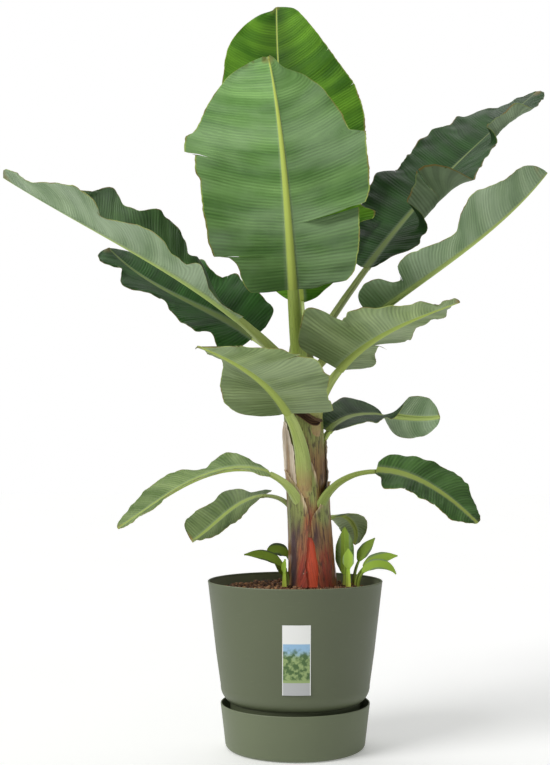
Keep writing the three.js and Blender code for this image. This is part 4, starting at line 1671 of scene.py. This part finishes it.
# The nine small leaves that rise from the soil beside the stem.
SHOOTS = (
    Shoot("left_long", (-10, -12), (106, 36, 10), (180, 184, 176), (96, 30, -8),
          (10, 10, 6), -55, 0.42),
    Shoot("left_round", (-8, 10), (92, 50, 13), (150, 175, 200), (100, 60, -60),
          (10, 10, 6), -50, 0.52),
    Shoot("left_dark", (-16, 8), (44, 14, 9), (170, 176, 180), (90, 64, 20),
          (10, 10, 0), -50, 0.45),
    Shoot("left_sprout", (-18, -34), (46, 22, 6), (60, 60, 60), (92, 88, 84),
          (50, 50, 40), 0, 1.8),
    Shoot("right_tall", (84, -6), (98, 18, 17), (-96, -98, -100), (94, 92, 74),
          (34, 24, 20), 10, 1.25),
    Shoot("right_shoot", (88, -34), (64, 30, 10), (90, 90, 90), (88, 92, 96),
          (30, 20, 20), 0, 2.2),
    Shoot("right_pointed", (100, 12), (88, 40, 11), (20, 10, 0), (92, 62, 46),
          (20, 10, 4), 50, 1.0),
    Shoot("right_arched", (102, -12), (96, 34, 12), (10, -8, -8), (92, 30, 4),
          (14, 8, 4), 52, 1.15),
    Shoot("right_drooping", (104, -36), (92, 26, 11), (-8, -4, -10), (92, 20, -62),
          (14, 8, 0), 46, 1.3),
)
FIRST_SHOOT_SEED = 21


# ---- stem


@dataclass(frozen=True)
class Stop:
    """The front and back edges of a sheath at a height, in degrees round the stem."""

    height: float
    front: float
    back: float


@dataclass(frozen=True)
class Tint:
    """A soft patch of colour on a sheath: its strength at a height and an angle."""

    amount: Triple
    height: float
    angle: float
    tall: float
    wide: float


@dataclass
class Sheath:
    """A leaf's base that wraps the stem, thin and papery along its edges."""

    name: str
    stops: tuple[Stop, ...]
    away: float
    thickness: float
    tints: tuple[Tint, ...]
    ground: Triple = (0.0, 0.0, 0.0)
    nodes: tuple[str, ...] = ()
    paper: float = 6.0
    flare: float = 2.2
    opens: float = 0.0
    ragged: float = 1.0
    rows: int = 90
    columns: int = 56
    seed: int = 40

    def build(self, stem: Stem, material: Material) -> Piece:
        """Builds the sheath as a closed curved wall."""
        heights = np.array([s.height for s in self.stops])
        z = np.linspace(heights[0], heights[-1], self.rows)
        front = np.interp(z, heights, [s.front for s in self.stops])
        back = np.interp(z, heights, [s.back for s in self.stops])
        radius = stem.outer(z)
        turn = np.degrees(1 / radius)
        nick = ripples(stacked(z / 38, 0.0), self.seed, 6) * turn * self.ragged
        sign = np.sign(front - back)
        front, back = front + sign * nick, back - sign * nick
        even = np.linspace(-1, 1, self.columns)
        across = (0.6 * even + 0.4 * np.sin(even * math.pi / 2) + 1) / 2
        angle = front[:, None] + (back - front)[:, None] * across[None]
        height = np.broadcast_to(z[:, None], angle.shape)
        arc = np.radians(angle) * radius[:, None]
        inward = np.minimum(
            np.abs(np.radians(angle - front[:, None])), np.abs(np.radians(angle - back[:, None]))
        ) * radius[:, None]
        topmost = heights[-1] - height
        open_share = ease((z - self.opens) / 26)
        edge = np.exp(-np.minimum(inward, topmost) / 4.0) * open_share[:, None]
        swell = ripples(stacked(arc / 16, height / 90), self.seed + 1, 5)
        ridge = ripples(stacked(arc / 3.2, height / 220), self.seed + 2, 5)
        outer_away = self.away + self.flare * edge * (1 + 0.5 * swell) + 0.45 * swell + 0.16 * ridge
        thick = self.thickness * (1 - 0.75 * np.exp(-np.minimum(inward, topmost + 2) / 5.0))
        outer = stem.wall(height, angle, outer_away)
        inner = stem.wall(height, angle, outer_away - np.maximum(thick, 0.5))
        tint = np.zeros(angle.shape + (3,)) + np.array(self.ground)
        for patch in self.tints:
            above = (height - patch.height) / patch.tall
            aside = ((angle - patch.angle + 180) % 360 - 180) / patch.wide
            tint += np.exp(-(above**2 + aside**2))[..., None] * np.array(patch.amount)
        papery = np.exp(-((np.minimum(inward, topmost + 1.5) / self.paper) ** 2))
        papery = papery * open_share[:, None]
        place = stacked(height, arc, np.clip(papery * (1.1 + 0.4 * swell), 0, 1))
        skin = Skinner()
        outside = skin.add_points(outer, place, np.clip(tint, 0, 1))
        inside = skin.add_points(inner, place, np.clip(tint, 0, 1))
        skin.add_shell(outside, inside, bool(sign[0] > 0))
        piece = skin.build(self.name, [material], 50)
        settle(piece, "stem_sheath", *self.nodes)
        return piece


@dataclass
class Trunk:
    """The stem: a core of young sheaths, the two outer sheaths and the clasping leaf bases."""

    stem: Stem
    inset: float = 5.3
    inset_top: float = 436.0
    core_rings: int = 170
    core_sides: int = 96

    def core(self, material: Material) -> Piece:
        """Builds the round core from the soil to the top stalks."""
        z = np.linspace(self.stem.foot[2], self.stem.top[2], self.core_rings)
        angle = np.linspace(-180, 180, self.core_sides + 1)[:-1]
        height, turn = np.meshgrid(z, angle, indexing="ij")
        inset = self.inset * ease((self.inset_top + 14 - height) / 28)
        arc = np.radians(turn) * 33
        ring = stacked(np.cos(np.radians(turn)) * 2, np.sin(np.radians(turn)) * 2)
        swell = ripples(np.concatenate([ring * 0.5, height[..., None] / 130], axis=-1), 61, 5)
        ridge = ripples(np.concatenate([ring * 3.2, height[..., None] / 260], axis=-1), 62, 5)
        points = self.stem.wall(height, turn, -inset - 0.6 + 0.5 * swell + 0.22 * ridge)
        points[0, :, 2] = self.stem.foot[2]
        high = ease((height - 450) / 110)
        red = ease((420 - height) / 60) * (0.9 + 0.2 * swell)
        purple = 0.25 * np.exp(-(((height - 455) / 50) ** 2)) * (1 + swell)
        tint = np.clip(stacked(red, purple, high), 0, 1)
        skin = Skinner()
        grid = skin.add_points(points, stacked(height, arc, 0.0), tint)
        skin.add_sheet(grid, 0, False, round_it=True)
        skin.add_fan(grid[0], 0, True)
        skin.add_fan(grid[-1], 0, False)
        piece = skin.build("stem_core", [material], 60)
        settle(piece, "stem_sheath", "pseudostem")
        return piece

    def sheaths(self) -> list[Sheath]:
        """The sheaths from the inside out."""
        foot = float(self.stem.foot[2])
        return [
            Sheath(
                "core_spindle",
                (Stop(foot, -108, -76), Stop(300, -112, -70), Stop(335, -110, -72),
                 Stop(368, -100, -82)),
                away=-1.6, thickness=3.0, ground=(1.0, 0.0, 0.0), tints=(), paper=1.0, flare=0.3,
                rows=60, columns=24, seed=42,
            ),
            Sheath(
                "front_clasp",
                (Stop(352, -112, -72), Stop(380, -124, -62), Stop(400, -142, -50),
                 Stop(425, -132, -54), Stop(448, -124, -62), Stop(470, -118, -74),
                 Stop(486, -114, -84)),
                away=0.3, thickness=2.4, ground=(0.0, 0.0, 0.15), paper=3.0, flare=1.2,
                opens=430,
                tints=(
                    Tint((0.0, 0.0, 0.9), 478, -100, 42, 60),
                    Tint((0.6, 0.0, 0.0), 378, -92, 26, 60),
                    Tint((0.0, 0.0, 0.7), 425, -76, 24, 10),
                ),
                rows=80, columns=44, seed=43,
            ),
            Sheath(
                "left_clasp",
                (Stop(378, 150, 236), Stop(420, 160, 238), Stop(455, 172, 240),
                 Stop(490, 180, 238), Stop(520, 184, 228), Stop(545, 190, 214)),
                away=1.0, thickness=1.8, ground=(0.0, 0.0, 0.15), paper=12.0, flare=2.6,
                opens=418, ragged=1.8,
                tints=(Tint((0.0, 0.5, 0.0), 440, 225, 40, 26),),
                rows=80, columns=36, seed=44,
            ),
            Sheath(
                "right_clasp",
                (Stop(378, -50, 92), Stop(410, -36, 84), Stop(440, -22, 66),
                 Stop(470, -14, 50), Stop(500, -8, 40), Stop(515, 2, 34)),
                away=1.0, thickness=1.8, ground=(0.0, 0.1, 0.5), paper=10.0, flare=2.8,
                opens=408, ragged=2.0,
                tints=(Tint((0.0, 0.0, 0.6), 480, 22, 40, 50),),
                rows=80, columns=40, seed=45,
            ),
            Sheath(
                "sheath_left_skin",
                (Stop(foot, 258, 94), Stop(308, 254, 94), Stop(368, 269, 95), Stop(396, 267, 100),
                 Stop(410, 262, 108), Stop(424, 254, 118), Stop(440, 238, 134),
                 Stop(456, 216, 150), Stop(464, 200, 168)),
                away=2.0, thickness=5.4, nodes=("sheath_left",), seed=46, opens=388,
                tints=(
                    Tint((0.0, 1.1, 0.0), 312, 220, 66, 11),
                    Tint((0.0, 0.5, 0.0), 366, 240, 26, 9),
                    Tint((0.95, 0.0, 0.0), 286, 248, 52, 17),
                    Tint((0.45, 0.0, 0.0), 372, 262, 34, 10),
                    Tint((0.0, 0.0, 1.2), 404, 234, 40, 30),
                    Tint((0.4, 0.2, 0.0), 300, 160, 90, 70),
                    Tint((0.0, 0.0, 0.5), 380, 205, 45, 16),
                ),
            ),
            Sheath(
                "sheath_right_skin",
                (Stop(foot, -78, 86), Stop(308, -74, 86), Stop(368, -88, 85), Stop(386, -82, 82),
                 Stop(396, -70, 74), Stop(412, -54, 60), Stop(430, -34, 40), Stop(444, -12, 20)),
                away=3.4, thickness=5.2, nodes=("sheath_right",), seed=47, opens=384,
                tints=(
                    Tint((0.62, 0.0, 0.0), 278, -62, 56, 26),
                    Tint((0.0, 0.8, 0.0), 352, -74, 26, 10),
                    Tint((0.0, 0.0, 1.2), 404, -48, 34, 28),
                    Tint((0.0, 0.0, 0.3), 322, -18, 30, 12),
                    Tint((0.42, 0.0, 0.0), 300, -32, 66, 30),
                    Tint((0.4, 0.1, 0.0), 300, 40, 90, 60),
                ),
            ),
        ]

    @staticmethod
    def scrap(
        name: str,
        points: Array,
        place: Array,
        material: Material,
        thickness: float,
        offset: float,
    ) -> Piece:
        """Builds a thin dry scrap on the stem.

        Args:
            name: the piece's name.
            points: a grid of points.
            place: their values for the material.
            material: its material.
            thickness: how thick it is, in millimetres.
            offset: where its thickness lies, from -1 inside to 0 on both sides.

        Returns:
            The new object.
        """
        skin = Skinner()
        skin.add_sheet(skin.add_points(points, place), 0, False)
        piece = skin.build(name, [material], 60)
        solid = piece.modifiers.new(name, "SOLIDIFY")
        solid.thickness = thickness * MM
        solid.offset = offset
        settle(piece, "stem_sheath")
        return piece

    def curl(self, material: Material) -> Piece:
        """Builds the dry brown curl that hangs on the front of the stem."""
        rows, columns = 60, 9
        share = np.linspace(0, 1, rows)
        across = np.linspace(-1, 1, columns)
        angle = blend(-130, -50, share)
        height = 569 + 4 * np.sin(share * 6.0) - 18 * share
        middle = self.stem.wall(height, angle, 7 + 3 * np.sin(share * 9.0))
        twist = blend(-0.3, 1.3, share)
        width = 16.5 * np.sin(np.pi * np.clip(share, 0.02, 0.98)) ** 0.5
        turn = np.radians(angle)
        out = stacked(np.cos(turn), np.sin(turn), 0.0)
        rise = np.array([0.0, 0.0, 1.0])
        bow = across[None] * 1.1 + twist[:, None]
        points = (
            middle[:, None]
            + rise * (width[:, None] * across * np.cos(bow))[..., None]
            + out[:, None] * (width[:, None] * (0.5 * across**2 + np.sin(bow) * across))[..., None]
        )
        place = stacked(share[:, None] * 50, across[None] * 9, 1.0)
        return self.scrap("dry_curl", points, place, material, 0.8, 0.0)

    def scar(self, material: Material) -> Piece:
        """Builds the small pale scar low on the left sheath."""
        share = np.linspace(0, 1, 18)
        across = np.linspace(-1, 1, 7)
        half = 1.6 * np.sin(np.pi * np.clip(share, 0.03, 0.97)) ** 0.7
        height = 291 + 3.5 * share[:, None] + across[None] * half[:, None]
        angle = blend(246, 257, share)[:, None] + 0 * across[None]
        away = 0.55 + 0.9 * (1 - across[None] ** 2) * half[:, None] / 1.6
        points = self.stem.wall(height, angle, away)
        place = stacked(height, angle * 0.6, 1.0)
        return self.scrap("sheath_scar", points, place, material, 0.6, -1.0)

    def build(self) -> None:
        """Builds the core and everything that wraps it."""
        material = SheathFinish().material()
        self.core(material)
        bright = SheathFinish("stem_spindle", red=colour(222, 86, 50), marks=0.12).material()
        # The clasps' paper is paler than the other sheaths': painted light where their sides turn
        # away from the key light.
        film = SheathFinish(
            "leaf_base_film_painted_light", paper=colour(248, 238, 222), paper_dark=colour(208, 186, 162)
        ).material()
        special = {"core_spindle": bright, "left_clasp": film, "right_clasp": film}
        for sheath in self.sheaths():
            sheath.build(self.stem, special.get(sheath.name, material))
        self.curl(
            SheathFinish(
                "dry_paper", paper=colour(112, 84, 52), paper_dark=colour(52, 38, 26)
            ).material()
        )
        self.scar(SheathFinish("pale_scar", paper=colour(216, 196, 170)).material())


# ---- pot, saucer, label, soil


@dataclass
class Turned:
    """A turned piece from its closed outline in radius and height, with painted light on its inside
    from one point on.
    """

    name: str
    outline: list[tuple[float, float]]
    segments: int = 192
    inside: int = 1000

    def build(self, material: Material, lip: float) -> Piece:
        """Builds the piece.

        Args:
            material: its plastic.
            lip: the height above which its edge gets a painted highlight.

        Returns:
            The new object.
        """
        outline = np.array(self.outline)
        angle = np.linspace(0, 2 * math.pi, self.segments + 1)[:-1]
        radius, height = outline[:, 0], outline[:, 1]
        points = stacked(
            radius[:, None] * np.cos(angle), radius[:, None] * np.sin(angle), height[:, None]
        )
        # Painted highlight on the rim's top, and painted light on the inside from the first inside
        # point on.
        wear_and_painted_light = ease((height - lip) / 1.2)
        wear_and_painted_light[self.inside :] = 1.0
        place = stacked(height[:, None], angle[None] * 140, wear_and_painted_light[:, None])
        skin = Skinner()
        grid = skin.add_points(points, place)
        skin.add_sheet(grid, 0, True, round_it=True)
        skin.add_fan(grid[0], 0, True)
        skin.add_fan(grid[-1], 0, False)
        return skin.build(self.name, [material], 40)


def arc(
    radius: float, height: float, size: float, start: float, end: float, steps: int = 8
) -> list[tuple[float, float]]:
    """An arc of an outline.

    Args:
        radius: its centre's radius.
        height: its centre's height.
        size: its own radius.
        start: its first angle in degrees.
        end: its last angle.
        steps: how many steps it takes.

    Returns:
        Its points.
    """
    turns = np.radians(np.linspace(start, end, steps + 1))
    return [(radius + size * math.cos(a), height + size * math.sin(a)) for a in turns]


GOLDEN = (1 + 5**0.5) / 2
BALL = np.array(
    [(-1, GOLDEN, 0), (1, GOLDEN, 0), (-1, -GOLDEN, 0), (1, -GOLDEN, 0),
     (0, -1, GOLDEN), (0, 1, GOLDEN), (0, -1, -GOLDEN), (0, 1, -GOLDEN),
     (GOLDEN, 0, -1), (GOLDEN, 0, 1), (-GOLDEN, 0, -1), (-GOLDEN, 0, 1)]
) / math.hypot(1, GOLDEN)
BALL_SIDES = (
    (0, 11, 5), (0, 5, 1), (0, 1, 7), (0, 7, 10), (0, 10, 11), (1, 5, 9), (5, 11, 4),
    (11, 10, 2), (10, 7, 6), (7, 1, 8), (3, 9, 4), (3, 4, 2), (3, 2, 6), (3, 6, 8),
    (3, 8, 9), (4, 9, 5), (2, 4, 11), (6, 2, 10), (8, 6, 7), (9, 8, 1),
)


@dataclass
class Planter:
    """The pot, its saucer, the label on the pot's front and the soil."""

    crumb_count: int = 3400
    sliver_every: int = 9
    bed_rings: int = 64
    bed_sides: int = 160
    wall: float = 3.5
    shoulder_height: float = 94.0
    shoulder_radius: float = 125.5
    foot_radius: float = 108.0
    saucer_wall: float = 3.0
    saucer_base: float = 117.5
    rim_radius: float = 0.0
    rim_height: float = 0.0
    saucer_rim: float = 0.0
    saucer_height: float = 0.0

    def __post_init__(self) -> None:
        """Reads the rims' sizes from the frame."""
        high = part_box("pot")[1]
        self.rim_radius, self.rim_height = high[0] / MM, high[2] / MM
        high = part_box("saucer")[1]
        self.saucer_rim, self.saucer_height = high[0] / MM, high[2] / MM

    def outer_radius(self, height: float) -> float:
        """The pot's outer radius above its shoulder."""
        share = (height - self.shoulder_height) / (self.rim_height - self.shoulder_height)
        return float(blend(self.shoulder_radius, self.rim_radius, share))

    def pot(self, material: Material) -> None:
        """Builds the pot with its rolled rim."""
        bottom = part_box("pot")[0][2] / MM
        rim = self.rim_radius
        top = self.rim_height
        wall = self.wall
        outline = [
            (1.0, bottom),
            (self.foot_radius - 5, bottom),
            *arc(self.foot_radius - 4, bottom + 3, 3, -90, -20, 5),
            (self.foot_radius + 1, self.shoulder_height - 22),
            *arc(self.shoulder_radius - 30, self.shoulder_height + 10, 30, -62, 2, 18),
            (self.outer_radius(160), 160),
            (self.outer_radius(220), 220),
            (self.outer_radius(top - 8), top - 8),
            (self.outer_radius(top - 3.6), top - 3.6),
            *arc(rim - 1.5, top - 1.6, 1.6, -15, 180, 10),
            (rim - wall - 0.4, top - 5),
            (self.outer_radius(220) - wall, 220),
            (self.outer_radius(160) - wall, 160),
            (self.shoulder_radius - wall - 1, self.shoulder_height),
            (self.foot_radius - wall + 3, self.shoulder_height - 16),
            (self.foot_radius - wall - 2, bottom + wall),
            (1.0, bottom + wall),
        ]
        # The outline's last seven points, the pot's inside, get painted light.
        piece = Turned("pot_shell", outline, inside=len(outline) - 7).build(material, top - 1.6)
        settle(piece, "planter_plastic", "pot")

    def saucer(self, material: Material) -> None:
        """Builds the saucer with its rounded foot and lip."""
        rim = self.saucer_rim
        top = self.saucer_height
        base = self.saucer_base
        wall = self.saucer_wall
        outline = [
            (1.0, 0.9),
            (base - 30, 0.9),
            (base - 26, 0.0),
            *arc(base - 9, 9, 9, -90, -6, 12),
            (base + (rim - base) * 0.5, 42),
            *arc(rim - 1.3, top - 1.3, 1.3, -10, 180, 8),
            (rim - wall, top - 4),
            (base - wall + 4, 40),
            (base - wall, 12),
            *arc(base - wall - 6, 11, 6, 0, -90, 6),
            (1.0, 5.0),
        ]
        # The saucer's rim top gets a painted highlight.
        piece = Turned("saucer_shell", outline).build(material, top - 1.2)
        settle(piece, "planter_plastic", "saucer")

    def label(self, material: Material) -> None:
        """Builds the plain film label, bent to the pot."""
        low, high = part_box("label")
        width = (high[0] - low[0]) / MM
        bottom, top = low[2] / MM, high[2] / MM
        heights = np.linspace(bottom, top, 30)
        across = np.linspace(-0.5, 0.5, 20) * width
        grids = []
        skin = Skinner()
        for away in (1.0, 0.25):
            rows = []
            for z in heights:
                radius = self.outer_radius(z) + away
                angle = across / self.outer_radius(z)
                rows.append(stacked(radius * np.sin(angle), -radius * np.cos(angle), z))
            place = stacked(across[None], (heights - bottom)[:, None], 0.0)
            grids.append(skin.add_points(np.array(rows), place))
        skin.add_shell(*grids, False)
        piece = skin.build("label_skin", [material], 50)
        settle(piece, "label_film", "label")

    def soil_height(self, x: Array, y: Array) -> Array:
        """The soil's height over a place, mounded to the middle with hollows and lumps."""
        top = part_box("soil")[1][2] / MM
        radius = np.hypot(x, y)
        mound = top - 0.6 - 7.0 * ease((radius - 66) / 76)
        lumps = ripples(stacked(x, y) / 46, 71, 7)
        return mound - 1.6 + 1.6 * lumps

    def soil(self, material: Material) -> None:
        """Builds the soil's bed with its crumbs and slivers of bark."""
        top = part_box("soil")[1][2] / MM
        wall = self.outer_radius(top - 8) - self.wall - 0.8
        skin = Skinner()
        radius = np.linspace(2, wall, self.bed_rings)
        angle = np.linspace(0, 2 * math.pi, self.bed_sides + 1)[:-1]
        x, y = radius[:, None] * np.cos(angle), radius[:, None] * np.sin(angle)
        bed = stacked(x, y, self.soil_height(x, y) + 0.8 * ripples(stacked(x, y) / 9, 72, 7))
        skirt = bed[-1:].copy()
        skirt[..., 2] = top - 40
        tint = np.zeros(bed.shape) + np.array([0.85, 0.0, 0.0])
        grid = skin.add_points(bed, 0 * bed, tint)
        low = skin.add_points(skirt, 0 * skirt, tint[:1])
        skin.add_sheet(np.concatenate([grid, low]), 0, True, round_it=True)
        skin.add_fan(grid[0], 0, False)
        skin.add_fan(low[0], 0, True)
        self.crumbs(skin, wall)
        piece = skin.build("soil_bed", [material], 70)
        settle(piece, "potting_soil", "soil")

    def crumbs(self, skin: Skinner, wall: float) -> None:
        """Adds loose crumbs and slivers over the soil.

        Args:
            skin: gathers their points and faces.
            wall: the radius that they stay within.
        """
        rng = np.random.default_rng(73)
        for k in range(self.crumb_count):
            sliver = k % self.sliver_every == 0
            size = rng.uniform(0.9, 3.2) * (1.0 if rng.random() < 0.9 else 1.7)
            if sliver:
                stretch = np.array([size * rng.uniform(2.2, 4.5), size * 0.45, size * 0.3])
            else:
                stretch = size * rng.uniform(0.65, 1.25, 3)
            spot = math.sqrt(rng.random()) * (wall - 4 - float(stretch.max()))
            turn = rng.uniform(0, 2 * math.pi)
            x, y = spot * math.cos(turn), spot * math.sin(turn)
            z = float(self.soil_height(np.array(x), np.array(y))) + size * 0.3
            axes = np.linalg.qr(rng.normal(size=(3, 3)))[0]
            if sliver:
                lie = rng.uniform(0, 2 * math.pi)
                tilt = rng.uniform(-0.35, 0.35)
                along = np.array([math.cos(lie), math.sin(lie), tilt])
                along /= np.linalg.norm(along)
                aside = np.array([-math.sin(lie), math.cos(lie), 0.0])
                axes = np.stack([along, aside, np.cross(along, aside)], axis=1)
            if np.linalg.det(axes) < 0:
                axes[:, 2] *= -1
            shape = BALL * rng.uniform(0.72, 1.2, (len(BALL), 1)) * stretch
            tint = (rng.uniform(0.55, 1.5), rng.uniform(0, 1) ** (1 if sliver else 5), 0.0)
            points = shape @ axes.T + np.array([x, y, z])
            numbers = skin.add_points(points, np.zeros(3), np.zeros(BALL.shape) + np.array(tint))
            first = int(numbers[0])
            skin.faces.extend((first + a, first + b, first + c) for a, b, c in BALL_SIDES)
            skin.skins.extend([0] * len(BALL_SIDES))

    def build(self) -> None:
        """Builds the planter's pieces and dresses them."""
        # Each plastic's second colour serves its scuffs and its painted light.
        plastic = PlasticFinish(
            "planter_plastic", colour(92, 100, 74), colour(146, 153, 126)
        ).material()
        self.pot(plastic)
        self.saucer(
            PlasticFinish("saucer_plastic", colour(105, 114, 86), colour(150, 158, 130)).material()
        )
        self.label(LabelFinish().material())
        self.soil(
            SoilFinish(
                "potting_soil", colour(146, 102, 74), colour(70, 47, 36), colour(198, 150, 106)
            ).material()
        )


# ---- studio


@dataclass
class Studio:
    """The floor, the soft lights and the camera."""

    eye: Triple = (-0.034, -2.130, 0.498)
    rise: float = 3.077
    lens: float = 58.8
    sky: float = 0.27
    floor_glow: float = 0.24

    def floor(self) -> None:
        """Lays a wide pale floor under the saucer."""
        mesh = bpy.data.meshes.new("studio_floor")
        reach = 12.0
        mesh.from_pydata(
            [(-reach, -reach, 0), (reach, -reach, 0), (reach, reach, 0), (-reach, reach, 0)],
            [], [(0, 1, 2, 3)],
        )
        floor = bpy.data.objects.new("studio_floor", mesh)
        floor.location.z = -0.0005
        bpy.context.scene.collection.objects.link(floor)
        material, w, shader = new_material("studio_floor")
        place = w.node("ShaderNodeTexCoord").outputs["Object"]
        w.feed(shader, "Base Color", w.scaled(
            colour(250, 250, 249), w.span(w.noise(place, 2.0), 0.3, 0.7, 0.995, 1.005)))
        w.feed(shader, "Roughness", 0.8)
        w.feed(shader, "Specular IOR Level", 0.1)
        w.feed(shader, "Emission Color", (1.0, 1.0, 1.0, 1.0))
        w.feed(shader, "Emission Strength", self.floor_glow)
        mesh.materials.append(material)

    def glow(self, name: str, origin: Triple, softness: float, strength: float) -> None:
        """Adds a broad light that is even over the whole floor.

        Args:
            name: its name.
            origin: the direction that it comes from.
            softness: how wide it looks, in degrees.
            strength: its strength in watts on each square metre.
        """
        light = bpy.data.lights.new(name, "SUN")
        light.angle = math.radians(softness)
        light.energy = strength
        lamp = bpy.data.objects.new(name, light)
        lamp.location = origin
        lamp.rotation_euler = lamp.location.to_track_quat("Z", "Y").to_euler()
        bpy.context.scene.collection.objects.link(lamp)

    def build(self) -> None:
        """Sets the studio up."""
        scene = bpy.context.scene
        scene.view_settings.view_transform = "Standard"
        world = bpy.data.worlds.new("studio")
        world.use_nodes = True
        w = Wiring(world.node_tree)
        background = world.node_tree.nodes["Background"]
        seen = w.node("ShaderNodeLightPath").outputs["Is Camera Ray"]
        w.feed(background, 0, (1.0, 1.0, 1.0))
        w.feed(background, 1, w.span(seen, 0.0, 1.0, self.sky, 1.0))
        scene.world = world
        self.floor()
        self.glow("key_light", (-2.2, -1.6, 2.1), 30.0, 1.74)
        self.glow("fill_light", (2.4, -1.6, 0.9), 70.0, 0.02)
        self.glow("top_light", (-0.3, 1.6, 2.6), 50.0, 0.75)
        camera = bpy.data.cameras.new("camera")
        camera.lens = self.lens
        camera.sensor_width = 36.0
        camera.clip_start = 0.05
        camera.clip_end = 60.0
        view = bpy.data.objects.new("camera", camera)
        view.location = self.eye
        view.rotation_euler = (math.radians(90 + self.rise), 0.0, 0.0)
        scene.collection.objects.link(view)
        scene.camera = view


def main() -> None:
    """Builds the plant, its pot and its studio."""
    logging.basicConfig(level=logging.INFO, format="%(name)s: %(message)s")
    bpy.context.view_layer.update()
    Studio().build()
    make_effects()
    Planter().build()
    stem = Stem()
    Trunk(stem).build()
    finishes: dict[str, list[Material]] = {}
    stalks: dict[str, Material] = {}
    shoots = (shoot.leaf(FIRST_SHOOT_SEED + k) for k, shoot in enumerate(SHOOTS))
    for leaf in (*MAIN_LEAVES, *shoots):
        if leaf.finish.name not in finishes:
            finishes[leaf.finish.name] = leaf.finish.materials()
        if leaf.stalk_finish.name not in stalks:
            stalks[leaf.stalk_finish.name] = leaf.stalk_finish.material()
        leaf.stalk(stem, stalks[leaf.stalk_finish.name])
        leaf.blade(stem, finishes[leaf.finish.name])


if __name__ == "__main__":
    main()
